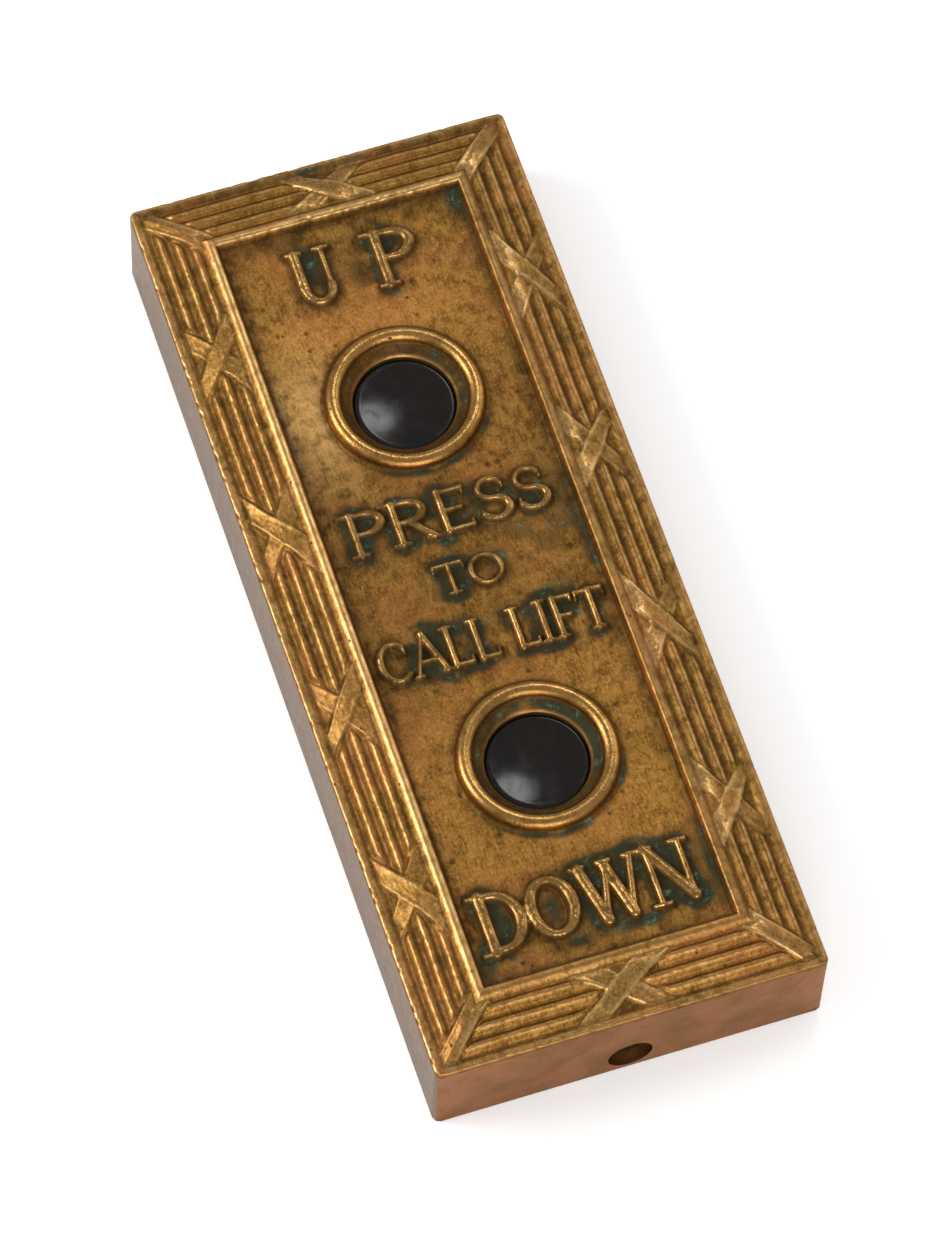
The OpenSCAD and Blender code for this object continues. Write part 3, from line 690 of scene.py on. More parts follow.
def wall_side(side, s):
    """Lower wall of any side with its marks: drawn metal outside, painted shade on the inner faces and in the
    screw holes, and the side's grey painted reflection.
    """
    points = long_wall(side, s) if side in LONG_SIDES else end_wall(side, s)
    depth = np.minimum(s.width / 2 - np.abs(points[..., 0]), s.length / 2 - np.abs(points[..., 1]))
    outside = depth < s.wall / 2
    marks = {"plain": outside * 1.0, "hollow": ~outside * 0.9, "film": outside * WEAR_AND_LIGHT[side].film}
    return tube_shaped(points, marks) if side in LONG_SIDES else ring_shaped(points, marks)


# Letters


THICK, THIN, SERIF = 0.088, 0.056, 0.04


def slant(x0, y0, x1, y1, w=THICK):
    """Straight stroke of half width w."""
    return [(x0, y0, x1, y1, w, w)]


def stem(x, low=0.03, high=0.97, w=THICK):
    """Upright stroke."""
    return slant(x, low, x, high, w)


def bar(x0, x1, y, w=THIN):
    """Level stroke."""
    return slant(x0, y, x1, y, w)


def bow(cx, cy, rx, ry, start, end, side=THICK, tip=THIN, steps=14):
    """Elliptic stroke in short pieces; it is thick where it runs upright and thin where it runs level."""
    t = np.radians(np.linspace(start, end, steps + 1))
    x, y = cx + rx * np.cos(t), cy + ry * np.sin(t)
    w = tip + (side - tip) * np.abs(np.cos(t)) ** 1.5
    return [tuple(v) for v in np.stack([x[:-1], y[:-1], x[1:], y[1:], w[:-1], w[1:]], axis=1)]


def serifs(y, *centres, reach=0.13):
    """Short level strokes at a height, one on each centre."""
    return [stroke for c in centres for stroke in bar(c - reach, c + reach, y, SERIF)]


def feet(*centres, reach=0.13):
    """Serifs on the foot line."""
    return serifs(0.02, *centres, reach=reach)


def heads(*centres, reach=0.13):
    """Serifs on the head line."""
    return serifs(0.98, *centres, reach=reach)


def glyphs():
    """Strokes of each capital in units of its height: start, end and half width at both, with its advance."""
    bowl = bar(0.16, 0.36, 0.95) + bow(0.36, 0.725, 0.25, 0.225, 90, -90) + bar(0.16, 0.36, 0.5)
    post = stem(0.15)
    bowed_post = stem(0.16) + bowl
    return {
        "A": (slant(0.05, 0.03, 0.36, 1, THIN) + slant(0.36, 1, 0.68, 0.03) + bar(0.18, 0.55, 0.34)
              + feet(0.06, 0.67, reach=0.1), 0.74),
        "C": (bow(0.4, 0.5, 0.33, 0.46, 48, 312) + slant(0.62, 0.84, 0.64, 0.68, THIN), 0.74),
        "D": (post + bar(0.15, 0.32, 0.95) + bar(0.15, 0.32, 0.05)
              + bow(0.32, 0.5, 0.36, 0.45, 90, -90) + feet(0.1) + heads(0.1), 0.76),
        "E": (post + bar(0.15, 0.53, 0.95) + bar(0.15, 0.45, 0.51) + bar(0.15, 0.55, 0.05)
              + slant(0.53, 0.95, 0.53, 0.84, SERIF) + slant(0.55, 0.05, 0.56, 0.18, SERIF), 0.64),
        "F": (post + bar(0.15, 0.53, 0.95) + bar(0.15, 0.45, 0.5)
              + slant(0.53, 0.95, 0.53, 0.82, SERIF) + feet(0.15), 0.6),
        "I": (post + feet(0.15) + heads(0.15), 0.32),
        "L": (post + bar(0.15, 0.53, 0.05) + slant(0.53, 0.05, 0.55, 0.2, SERIF) + heads(0.15), 0.6),
        "N": (stem(0.13, w=THIN) + slant(0.12, 0.97, 0.66, 0.05) + stem(0.66, 0.05, w=THIN)
              + feet(0.13) + heads(0.1, 0.66), 0.8),
        "O": (bow(0.4, 0.5, 0.31, 0.455, 0, 360, steps=26), 0.8),
        "P": (bowed_post + feet(0.16) + heads(0.1), 0.66),
        "R": (bowed_post + slant(0.36, 0.48, 0.66, 0.04) + feet(0.16, 0.68) + heads(0.1), 0.74),
        "S": (bow(0.31, 0.73, 0.19, 0.225, 30, 270, THIN) + bow(0.31, 0.27, 0.22, 0.235, 90, -150)
              + slant(0.49, 0.86, 0.5, 0.72, SERIF) + slant(0.1, 0.16, 0.1, 0.3, SERIF), 0.6),
        "T": (stem(0.35, 0.03, 0.95) + bar(0.06, 0.64, 0.95) + slant(0.06, 0.95, 0.04, 0.78, SERIF)
              + slant(0.64, 0.95, 0.66, 0.78, SERIF) + feet(0.35), 0.68),
        "U": (stem(0.14, 0.34) + bow(0.38, 0.31, 0.24, 0.27, 180, 360, THIN + 0.02)
              + stem(0.62, 0.3, w=THIN) + heads(0.14, 0.62), 0.76),
        "W": (slant(0.08, 0.97, 0.29, 0.04) + slant(0.29, 0.04, 0.49, 0.9, THIN) + slant(0.49, 0.9, 0.7, 0.04)
              + slant(0.7, 0.04, 0.9, 0.97, THIN) + heads(0.08, 0.49, 0.9, reach=0.1), 0.98),
    }


# Words beside the buttons: middle, weight, and each letter's left and right end, in millimetres
WORDS = (
    (52.6, 1.05, (("U", -9.4, -3.0), ("P", 2.2, 9.2))),
    (-52.3, 1.15, (("D", -16.4, -9.4), ("O", -9.3, -1.6), ("W", -1.3, 7.8), ("N", 8.1, 15.4))),
)
# Legend: words, property of their height, middle and width in millimetres
LEGEND = (("PRESS", "upper", 10.7, 30.4), ("TO", "middle", 0.3, 10.6), ("CALL LIFT", "lower", -10.1, 34.0))
LEGEND_WEIGHT, SPACE = 1.05, 0.3


def letter_places(lettering):
    """Every letter of the plate as (character, left, foot, width, height, weight), in millimetres."""
    places = []
    cap = lettering.word
    for middle, weight, letters in WORDS:
        for character, left, right in letters:
            places.append((character, left, middle - cap / 2, right - left, cap, weight))
    table = glyphs()
    for words, height, middle, width in LEGEND:
        cap = getattr(lettering, height)
        advance = [SPACE if c == " " else table[c][1] for c in words]
        stretch = width / sum(advance)
        left = -width / 2
        for character, step in zip(words, advance):
            if character != " ":
                places.append((character, left, middle - cap / 2, step * stretch, cap, LEGEND_WEIGHT))
            left += step * stretch
    return places


def letters_near(x, y, places, reach):
    """Each letter near some points: which points, their way from its foot, its strokes and its height."""
    table = glyphs()
    for character, left, foot, width, cap, weight in places:
        near = np.abs(x - left - width / 2) < width / 2 + reach
        near = near & (np.abs(y - foot - cap / 2) < cap / 2 + reach)
        if near.any():
            strokes, advance = table[character]
            scale = (width / advance, cap, width / advance, cap, cap * weight, cap * weight)
            yield near, x[near] - left, y[near] - foot, np.array(strokes) * scale, cap


def from_stroke(px, py, stroke):
    """Distance from a stroke's middle line, and the share of the stroke at the nearest place."""
    x0, y0, x1, y1 = stroke[:4]
    dx, dy = x1 - x0, y1 - y0
    t = np.clip(((px - x0) * dx + (py - y0) * dy) / (dx * dx + dy * dy), 0, 1)
    return np.hypot(px - x0 - t * dx, py - y0 - t * dy), t


def letter_shelter(x, y, places):
    """How far letters enclose a point: a bell for every stroke near it, summed and eased."""
    total = np.zeros(x.shape)
    for near, px, py, strokes, cap in letters_near(x, y, places, reach=5):
        for stroke in strokes:
            run = math.hypot(stroke[2] - stroke[0], stroke[3] - stroke[1])
            total[near] += run / cap * bell(from_stroke(px, py, stroke)[0], 0.9 + 0.16 * cap)
    return ramp(total, 0.15, 1.35)


def letter_distance(x, y, places):
    """Distance to the nearest letter, negative inside it.

    Each stroke is a straight piece whose half width changes evenly from end to end; strokes are joined by
    their least distance, with a small fillet.
    """
    far, fillet = 9.0, 0.12
    best = np.full(x.shape, far)
    for near, px, py, strokes, _ in letters_near(x, y, places, reach=4):
        letter = np.full(px.shape, far)
        for stroke in strokes:
            away, t = from_stroke(px, py, stroke)
            start, end = stroke[4:]
            letter = -smooth_max(-letter, start + (end - start) * t - away, fillet)
        best[near] = np.minimum(best[near], letter)
    return best


# Field and rings


# Clouds on the field: strength, middle and reach along x and y, in millimetres. The bright cloud is a painted
# highlight left of the upper ring. The counters are those of the two words that hold corrosion.
PAINTED_HIGHLIGHT_CLOUDS = ((0.6, -13, 30, 5, 10),)
DARK_CLOUDS = ((0.3, 15, 34, 6, 13), (0.25, -13, -16, 5, 6))
COUNTERS = (
    (1, -6.2, 53.2, 1.6, 3.2),
    (1, 0.2, 52.4, 2.0, 3.6),
    (1, 6.0, 55.0, 1.3, 1.4),
    (1, -12.9, -52.3, 1.6, 3.2),
    (1, -5.4, -52.3, 1.4, 3.0),
    (1, 1.2, -50.5, 1.2, 2.6),
    (1, 5.4, -50.5, 1.2, 2.6),
    (1, 11.8, -52.0, 1.6, 3.0),
    (1, -3.5, -58.2, 4.5, 1.1),
    (1, 6.5, -58.0, 3.0, 1.0),
)


def clouds(x, y, table):
    """Sum of bell-shaped clouds, each with its own strength, middle and reach."""
    return sum(k * bell(x - cx, rx) * bell(y - cy, ry) for k, cx, cy, rx, ry in table)


def field_green(x, y, s):
    """Verdigris of the field: corners, right edge, feet of the rings and counters of the two words."""
    right, left = s.half_w - x, s.half_w + x
    green = 1.15 * bell(right, 2.6) * bell(s.half_l - y, 9) + 1.6 * bell(left, 3.6) * bell(s.half_l + y, 4.0)
    green = green + bell(right, 2.5) * bell(y + 52, 9) + 0.3 * bell(right, 1.2)
    for _, centre in buttons(s):
        angle = np.arctan2(y - centre, x)
        foot = bell(np.hypot(x, y - centre) - s.foot - 0.5, 0.9)
        below_right = 0.55 * ramp(np.cos(angle + 1.1), 0.2, 0.9)
        below_left = 0.4 * ramp(np.cos(angle + 2.3), 0.3, 1)
        green = green + foot * (0.25 + below_right + below_left)
    green = green + 0.85 * clouds(x, y, COUNTERS)
    return np.clip(green * (0.7 + 0.5 * value_noise(x, y, 2.2, 71)), 0, 1)


def pits(x, y, s, count, seed):
    """Seeded casting pits: the sum of small bell-shaped dents."""
    rng = np.random.default_rng(seed)
    ranges = ((-s.half_w, s.half_w), (-s.half_l, s.half_l), (0.16, 0.42), (0.03, 0.1))
    reach = 2
    depth = np.zeros_like(x)
    for px, py, radius, deep in zip(*(rng.uniform(low, high, count) for low, high in ranges)):
        near = (np.abs(x - px) < reach) & (np.abs(y - py) < reach)
        depth[near] += deep * bell(np.hypot(x[near] - px, y[near] - py), radius)
    return depth


def field_surface(x, y, places, lettering, s):
    """Height and marks of the field: casting skin, pits, the border's foot and raised, worn letters."""
    rim = np.minimum(s.half_w - np.abs(x), s.half_l - np.abs(y))
    ring_foot = np.minimum(np.hypot(x, y - s.button_y), np.hypot(x, y + s.button_y)) - s.foot
    distance = letter_distance(x, y, places)
    dents = pits(x, y, s, count=130, seed=81)

    # Height
    foot = border_profile(np.array([s.border]), s)[0] - s.field
    z = s.field + foot * fading(rim, 0.35) + field_wave(x, y) - dents
    rise = 0.8 * ramp(-distance, -0.3, 0.32) + 0.2 * ramp(-distance, 0.0, 0.85)
    top = lettering.relief + 0.03 * rough_noise(x, y, 0.8, 91) * ramp(-distance, 0.1, 0.5)
    z = z + rise * top - 0.07 * bell(distance - 0.5, 0.5)

    # Rubbed places with painted highlights: the letters; their edges, rubbed and painted with a highlight
    # line; and the painted highlight left of the upper ring
    letter = ramp(-distance, -0.1, 0.25)
    raised = 0.42 * letter + 0.45 * bell(distance + 0.2, 0.15) + clouds(x, y, PAINTED_HIGHLIGHT_CLOUDS)

    # Dirt in the pits; dirt mixed with painted shade at the feet of letters, border and rings, and between
    # the letters
    outside = ramp(distance, -0.1, 0.12)
    near = letter_shelter(x, y, places) * outside
    patchy = ramp(value_noise(x, y, 2.6, 93) + 0.25 * value_noise(x, y, 0.8, 94), -0.8, 0.05)
    dirt_and_shade = 0.8 * bell(np.maximum(distance - 0.1, 0), 0.35) * (distance > -0.05) + np.clip(dents * 16, 0, 1)
    dirt_and_shade = dirt_and_shade + (0.35 * fading(distance, 1.3) + 0.7 * near) * patchy
    dirt_and_shade = dirt_and_shade + 0.75 * clouds(x, y, COUNTERS) * outside
    dirt_and_shade = dirt_and_shade + 0.9 * fading(rim, 0.5)
    dirt_and_shade = dirt_and_shade + 0.5 * fading(rim, 2.0) * ramp(value_noise(x, y, 4, 96), -0.5, 0.5)
    dirt_and_shade = dirt_and_shade + 0.8 * bell(np.maximum(ring_foot, 0), 0.6) + 0.35 * fading(ring_foot, 1.3)

    # Darker parts: a painted shadow along the left edge beside the left moulding, then the top edge, legend,
    # both ends and the clouds
    dirt_and_shade = dirt_and_shade + 0.3 * fading(s.half_w + x, 1.5)
    dirt_and_shade = dirt_and_shade + 0.75 * bell(s.half_l - y, 3.2) * ramp(value_noise(x, y, 3, 95) + 0.35, 0, 0.9)
    dirt_and_shade = dirt_and_shade + 0.42 * bell((y - 4) ** 2, 20**2) + 0.2 * ramp(np.abs(y), 42, 50) + clouds(x, y, DARK_CLOUDS)

    # Verdigris round the letters, as a haze over the legend, and in the places of the whole field
    haze = 0.62 * bell((y - 1) ** 2, 13**2) * ramp(value_noise(x, y, 3.4, 97) + 0.03 * x, -0.1, 0.7)
    green = near * (0.45 + 0.6 * patchy) + haze + field_green(x, y, s)
    marks = {"raised": raised, "hollow": dirt_and_shade, "green": green}
    marks = {name: np.clip(values, 0, 1) for name, values in marks.items()}
    marks["green"] = marks["green"] * (1 - rise)
    marks["polish"] = letter
    return z, marks


def field_slab(low, high, step, places, lettering, s):
    """Part of the field between two places along the plate: a top grid, upright edges and a flat back."""
    nx, ny = int(round(2 * s.half_w / step)) + 1, int(round((high - low) / step)) + 1
    x, y = np.meshgrid(np.linspace(-s.half_w, s.half_w, nx), np.linspace(low, high, ny))
    z, marks = field_surface(x, y, places, lettering, s)
    index = np.arange(nx * ny).reshape(ny, nx)
    rim = np.concatenate([index[0, :-1], index[:-1, -1], index[-1, :0:-1], index[:0:-1, 0]])
    top = xyz(x, y, z).reshape(-1, 3)
    foot = xyz(top[rim, 0], top[rim, 1], s.face_back)
    below = nx * ny + np.arange(len(rim))
    walls = np.stack([rim, np.roll(rim, -1), np.roll(below, -1), below], axis=1)
    quads = np.concatenate([grid_quads(ny, nx)[:, ::-1], walls[:, ::-1]])
    marks = {name: np.concatenate([v.ravel(), v.ravel()[rim]]) for name, v in marks.items()}
    return np.concatenate([top, foot]), quads, [below], marks


def ring_slab(centre, low, high, places, lettering, s):
    """Part of the field round a ring: a grid from the ring's root out to the slab's outline, closed below."""
    spacing, steps = 0.3, 60
    middle = np.array([0, centre])
    rim = box_outline(s.half_w, low, high, int((high - low) / spacing), int(2 * s.half_w / spacing))
    offset = rim - middle
    root = middle + s.crest_at * offset / np.linalg.norm(offset, axis=1, keepdims=True)
    t = np.linspace(0, 1, steps)[None, :, None]
    plan = root[:, None, :] * (1 - t) + rim[:, None, :] * t
    x, y = plan[..., 0], plan[..., 1]
    z, marks = field_surface(x, y, places, lettering, s)
    back = xyz(x[:, [-1, 0]], y[:, [-1, 0]], s.face_back)
    marks = {name: np.concatenate([v, v[:, [-1, 0]]], axis=1) for name, v in marks.items()}
    return ring_shaped(np.concatenate([xyz(x, y, z), back], axis=1), marks)


def ring(centre, s):
    """Ring round a button bore: rounded crest, cone down to the bore's sharp edge, and a foot on the field.

    The closed profile is turned round the bore's axis; a little noise makes crest and throat uneven. The
    lower ring's throat is greener and less dirty.
    """
    low = s.crest_z - s.crest
    profile = filled(np.concatenate([
        [[s.bore, s.face_back], [s.bore, s.edge_z - 0.12], [s.bore + 0.08, s.edge_z]],
        [[s.throat - 0.35, s.crest_z - 1.55], [s.throat - 0.05, s.crest_z - 1.05]],
        arc((s.crest_at, low), s.crest, start=158, end=0, steps=22),
        [[s.foot + 0.05, s.field + 0.4], [s.foot + 0.22, s.field + 0.14], [s.foot + 0.6, s.field - 0.02]],
        [[s.foot + 0.8, s.field - 0.3], [s.crest_at, s.field - 0.6], [s.crest_at, s.face_back]],
    ]), step=0.25)
    points = revolved(profile, steps=260, y=centre)
    x, y, z = np.moveaxis(points, -1, 0)
    r = np.hypot(x, y - centre)
    angle = np.arctan2(y - centre, x)
    skin = 0.018 * value_noise(x, y, 3, 101) + 0.004 * rough_noise(x, y, 0.6, 102)
    z += skin * (z > s.face_back + 0.5)
    crest = bell(r - s.crest_at, 0.9) * (z > low)
    throat = (1 - ramp(r, s.throat - 0.4, s.throat + 0.2)) * ramp(r, s.bore + 0.03, s.bore + 0.5)
    sharp = bell(r - s.bore - 0.05, 0.14) * bell(z - s.edge_z, 0.2)
    inside = (r < s.bore + 0.04) & (z < s.edge_z - 0.1)
    foot = ramp(r, s.foot - 0.1, s.foot + 0.15)
    lower = centre < 0
    to_right = ramp(np.cos(angle - 0.2), -0.3, 0.9)
    in_throat = 0.3 + 0.4 * to_right + 0.25 * value_noise(x, y, 1.8, 103) + 0.3 * lower
    green = throat * in_throat + foot * field_green(x, y, s) + 0.35 * inside
    # The darkening at the ring's foot is dirt with painted shade, like the field's round it
    return ring_shaped(points, {
        "raised": np.clip(0.42 * crest + 0.9 * sharp, 0, 1),
        "hollow": np.clip((0.7 if lower else 1.0) * throat + 0.8 * foot + 0.9 * inside, 0, 1),
        "green": np.clip(green * (1 - sharp), 0, 1),
        "polish": 0.7 * crest,
    })


# Buttons and springs


def button_cap(centre, b):
    """Button cap: a profile from the dish's middle over rim, flange and hollow to the stem's seat.

    It is turned round the bore's axis, and a small cap closes each pole.
    """
    pole, rim_round, margin, steps = 0.02, 0.45, 0.9, 128
    r = np.linspace(pole, b.cap - margin, 26)
    dish = np.stack([r, b.rim_z - b.dish * (1 - (r / (b.cap - margin)) ** 2)], axis=1)
    rim = arc((b.cap - rim_round, b.rim_z - rim_round), rim_round, start=90, end=0, steps=8)
    rest = filled([
        [b.cap, b.flange_top + 0.1], [b.cap + 0.1, b.flange_top], [b.flange - 0.15, b.flange_top],
        [b.flange, b.flange_top - 0.15], [b.flange, b.flange_low + 0.1], [b.flange - 0.1, b.flange_low],
        [b.inside, b.flange_low], [b.inside, b.roof], [b.stem, b.roof], [b.stem, b.roof + b.stem_seat],
        [pole, b.roof + b.stem_seat],
    ], step=0.6)
    points = revolved(np.concatenate([dish, rim, rest]), steps, centre)
    columns = points.shape[1]
    starts = np.arange(steps) * columns
    return points, grid_quads(steps, columns, close_rows=True), [starts[::-1], starts + columns - 1], {}


def spring_tube(centre, b):
    """Return spring: a round wire carried along a helix whose turns lie closer at both ends."""
    steps, sides, play = b.turns * 40, 12, 0.02
    t = np.linspace(0, 1, steps + 1)[:, None]
    low = b.seat + b.wire / 2 + play
    high = b.roof - b.wire / 2 - play
    turn = 2 * math.pi * b.turns * t
    lift = low + (high - low) * (t - 0.5 * np.sin(2 * math.pi * t) / (2 * math.pi))
    out = np.concatenate([np.cos(turn), np.sin(turn), np.zeros_like(turn)], axis=1)
    path = out * b.spring + np.concatenate([np.zeros_like(t), np.full_like(t, centre), lift], axis=1)
    along = np.gradient(path, axis=0)
    along /= np.linalg.norm(along, axis=1, keepdims=True)
    up = np.cross(along, out)
    angle = np.linspace(0, 2 * math.pi, sides, endpoint=False)[None, :, None]
    section = np.cos(angle) * out[:, None, :] + np.sin(angle) * up[:, None, :]
    return tube_shaped(path[:, None, :] + b.wire / 2 * section, {})


# Materials


class Value:
    """A shader socket for use in formulas: each step adds one Math node to its tree."""

    def __init__(self, wiring, socket):
        self.wiring = wiring
        self.socket = socket

    def __add__(self, other):
        return self.wiring.maths("ADD", self, other)

    def __sub__(self, other):
        return self.wiring.maths("SUBTRACT", self, other)

    def __rsub__(self, other):
        return self.wiring.maths("SUBTRACT", other, self)

    def __mul__(self, other):
        return self.wiring.maths("MULTIPLY", self, other)

    def above(self, other):
        """The larger of the two."""
        return self.wiring.maths("MAXIMUM", self, other)

    def clipped(self):
        """The same value, kept from 0 to 1."""
        self.socket.node.use_clamp = True
        return self


class Wiring:
    """Short ways to place and join shader nodes in one tree."""

    def __init__(self, tree):
        self.tree = tree

    def node(self, kind, **settings):
        """New node with its settings."""
        made = self.tree.nodes.new(kind)
        for key, value in settings.items():
            setattr(made, key, value)
        return made

    def join(self, value, socket):
        """Socket linked to a value of the tree, or set to a plain one."""
        if isinstance(value, Value):
            self.tree.links.new(value.socket, socket)
        else:
            socket.default_value = value

    def fed(self, made, output, inputs):
        """Output of a node whose inputs, by name or number, are joined to the given values."""
        for key, value in inputs.items():
            self.join(value, made.inputs[key])
        return Value(self, made.outputs[output])

    def maths(self, operation, a, b):
        """One step of arithmetic."""
        return self.fed(self.node("ShaderNodeMath", operation=operation), 0, {0: a, 1: b})

    def mix(self, share, a, b):
        """Colour between a and b."""
        return self.fed(self.node("ShaderNodeMix", data_type="RGBA"), 2, {0: share, 6: a, 7: b})

    def spread(self, value, low, high, start=0.0, end=1.0):
        """Value carried from low..high to start..end with a smooth ease, clipped at both ends."""
        made = self.node("ShaderNodeMapRange", interpolation_type="SMOOTHSTEP")
        return self.fed(made, 0, dict(enumerate((value, low, high, start, end))))

    def place(self, *scale):
        """Object coordinates in millimetres, stretched by scale."""
        source = Value(self, self.node("ShaderNodeTexCoord").outputs["Object"])
        stretch = [1000 * v for v in scale]
        return self.fed(self.node("ShaderNodeMapping"), 0, {"Vector": source, "Scale": stretch})

    def noise(self, where, scale, detail, roughness, distortion=0.0):
        """Noise with the given number of bumps in a millimetre."""
        inputs = {"Vector": where, "Scale": scale, "Detail": detail, "Roughness": roughness}
        return self.fed(self.node("ShaderNodeTexNoise"), "Fac", {**inputs, "Distortion": distortion})

    def cells(self, where, scale):
        """Distance to the nearest point of a loose pattern of points."""
        return self.fed(self.node("ShaderNodeTexVoronoi"), "Distance", {"Vector": where, "Scale": scale})


def skin_group(name, colours, values, outputs):
    """Empty shader group with colour and value inputs, a Colour and value outputs.

    Also its wiring, its inputs by their names in small letters, and the sockets of its outputs.
    """
    group = bpy.data.node_groups.new(name, "ShaderNodeTree")
    for way, kind, names in (
        ("INPUT", "NodeSocketColor", colours),
        ("INPUT", "NodeSocketFloat", values),
        ("OUTPUT", "NodeSocketColor", ["Colour"]),
        ("OUTPUT", "NodeSocketFloat", outputs),
    ):
        for socket in names:
            group.interface.new_socket(socket, in_out=way, socket_type=kind)
    w = Wiring(group)
    sockets = w.node("NodeGroupInput").outputs
    given = {key.lower(): Value(w, sockets[key]) for key in (*colours, *values)}
    return group, w, SimpleNamespace(**given), w.node("NodeGroupOutput").inputs


# Worn also colours painted highlights, Grime also painted shade, and Grey is the painted reflection on the
# left wall
BRONZE_COLOURS = {
    "Bronze": "bronze", "Dark": "bronze_dark", "Worn": "bronze_worn", "Copper": "copper", "Grime": "grime",
    "Verdigris": "verdigris", "Bloom": "bloom", "Wall": "wall", "Grey": "film",
}
# Raised carries painted highlights and Hollow painted shade, as well as wear and dirt
BRONZE_MARKS = ("Raised", "Hollow", "Green", "Ribbon", "Plain", "Film", "Polish")


def aged_bronze_skin():
    """Aged bronze: mottled metal, copper patches, worn edges with painted highlights, grime with painted
    shade, verdigris, a grey painted reflection on the left wall, granular skin and pits.
    """
    group, w, given, result = skin_group(
        "aged_bronze_skin", BRONZE_COLOURS, BRONZE_MARKS, ("Roughness", "Metallic", "Height", "Wax")
    )
    even = w.place(1, 1, 1)
    patch = w.noise(even, 0.085, detail=3, roughness=0.5)
    stain = w.noise(even, 0.2, detail=5, roughness=0.6, distortion=0.5)
    cloud = w.noise(even, 0.5, detail=5, roughness=0.65, distortion=0.4)
    grain = w.noise(even, 2.2, detail=4, roughness=0.7)
    streak = w.noise(w.place(4.2, 0.75, 1), 1.0, detail=4, roughness=0.62)
    drawn = w.noise(w.place(0.1, 0.1, 0.9), 1.0, detail=5, roughness=0.66, distortion=0.3)
    scratch = w.noise(w.place(0.07, 0.07, 7), 1.0, detail=2, roughness=0.5, distortion=0.2)
    spots = w.cells(even, 0.42)

    # Mottled metal; polished letters, rings and ribbons stay clean
    tone = cloud * 0.5 + streak * 0.5
    clean = (given.polish * 0.85).above(given.ribbon * 0.8)
    rest = 1.0 - clean
    metal = w.mix(w.spread(tone, 0.38, 0.57), given.dark, given.bronze)
    metal = w.mix(w.spread(patch, 0.44, 0.62, 0.0, 0.55) * rest, metal, given.copper)
    metal = w.mix(w.spread(stain, 0.46, 0.72, 0.0, 0.45), metal, given.dark)
    metal = w.mix(w.spread(grain, 0.5, 0.7, 0.0, 0.4), metal, given.worn)
    metal = w.mix(w.spread(grain, 0.3, 0.47, 0.45, 0.0) * rest, metal, given.grime)

    # Plain walls, with a grey painted reflection of the floor on the left wall
    wall = w.mix(w.spread(drawn, 0.4, 0.72, 0.0, 0.4), given.wall, given.bronze)
    wall = w.mix(w.spread(stain, 0.34, 0.72, 0.0, 0.75), wall, given.dark)
    wall = w.mix(given.film * w.spread(drawn, 0.35, 0.65, 1.0, 0.45), wall, given.grey)
    wall = w.mix(w.spread(scratch, 0.66, 0.74, 0.0, 0.35), wall, given.worn)
    metal = w.mix(given.plain, metal, wall)

    # Rubbed edges with painted highlights, then dirt with painted shade and dark specks, then verdigris with
    # its pale crust
    rubbed_and_highlight = given.raised * w.spread(cloud, 0.3, 0.62, 0.35, 1.0)
    rubbed_and_highlight = (rubbed_and_highlight + given.ribbon * w.spread(grain, 0.4, 0.62, 0.2, 0.75)).clipped()
    metal = w.mix(rubbed_and_highlight, metal, given.worn)
    speck = w.spread(spots, 0.05, 0.15, 1.0, 0.0) * w.spread(patch, 0.42, 0.6, 0.1, 0.9)
    dirt_and_shade = given.hollow * w.spread(cloud, 0.3, 0.62, 0.9, 0.6)
    dirt_and_shade = dirt_and_shade.above(speck * (1.0 - given.plain)).clipped()
    metal = w.mix(dirt_and_shade, metal, given.grime)
    crust = w.mix(w.spread(cloud + grain * 0.6, 0.86, 1.08), given.verdigris, given.bloom)
    broken = (cloud - 0.5) * 1.1 + (grain - 0.5) * 0.7
    green = w.spread(given.green + broken, 0.3, 1.1, 0.0, 0.95) * w.spread(given.green, 0.03, 0.2)
    w.join(w.mix(green, metal, crust), result["Colour"])

    # Surface
    rough = w.spread(tone, 0.3, 0.7, 0.42, 0.3) - given.polish * 0.2
    w.join((rough + dirt_and_shade.above(green) * 0.3).clipped(), result["Roughness"])
    w.join(rubbed_and_highlight * w.spread(given.polish, 0.0, 1.0, 0.6, 0.08), result["Wax"])
    w.join((1.0 - (green * 0.8).above(dirt_and_shade * 0.4)).clipped(), result["Metallic"])
    calm = (given.plain * 0.75).above(given.raised * 0.6).above(clean * 0.7)
    height = grain * 0.55 + streak * 0.35 - speck * 0.5
    w.join(height * (1.0 - calm), result["Height"])
    return group


def machined_metal_skin():
    """Machined metal: fine drawn lines, cloudy tarnish and small scratches."""
    group, w, given, result = skin_group(
        "machined_metal_skin", ("Metal", "Tarnish"), ("Polish",), ("Roughness", "Height")
    )
    cloud = w.noise(w.place(1, 1, 1), 0.5, detail=5, roughness=0.6, distortion=0.3)
    lines = w.noise(w.place(0.4, 9, 3), 1.0, detail=3, roughness=0.6)
    stain = w.spread(cloud, 0.45, 0.75, 0.0, 0.75)
    w.join(w.mix(stain, given.metal, given.tarnish), result["Colour"])
    w.join((given.polish + (lines - 0.5) * 0.3 + stain * 0.25).clipped(), result["Roughness"])
    w.join(lines, result["Height"])
    return group


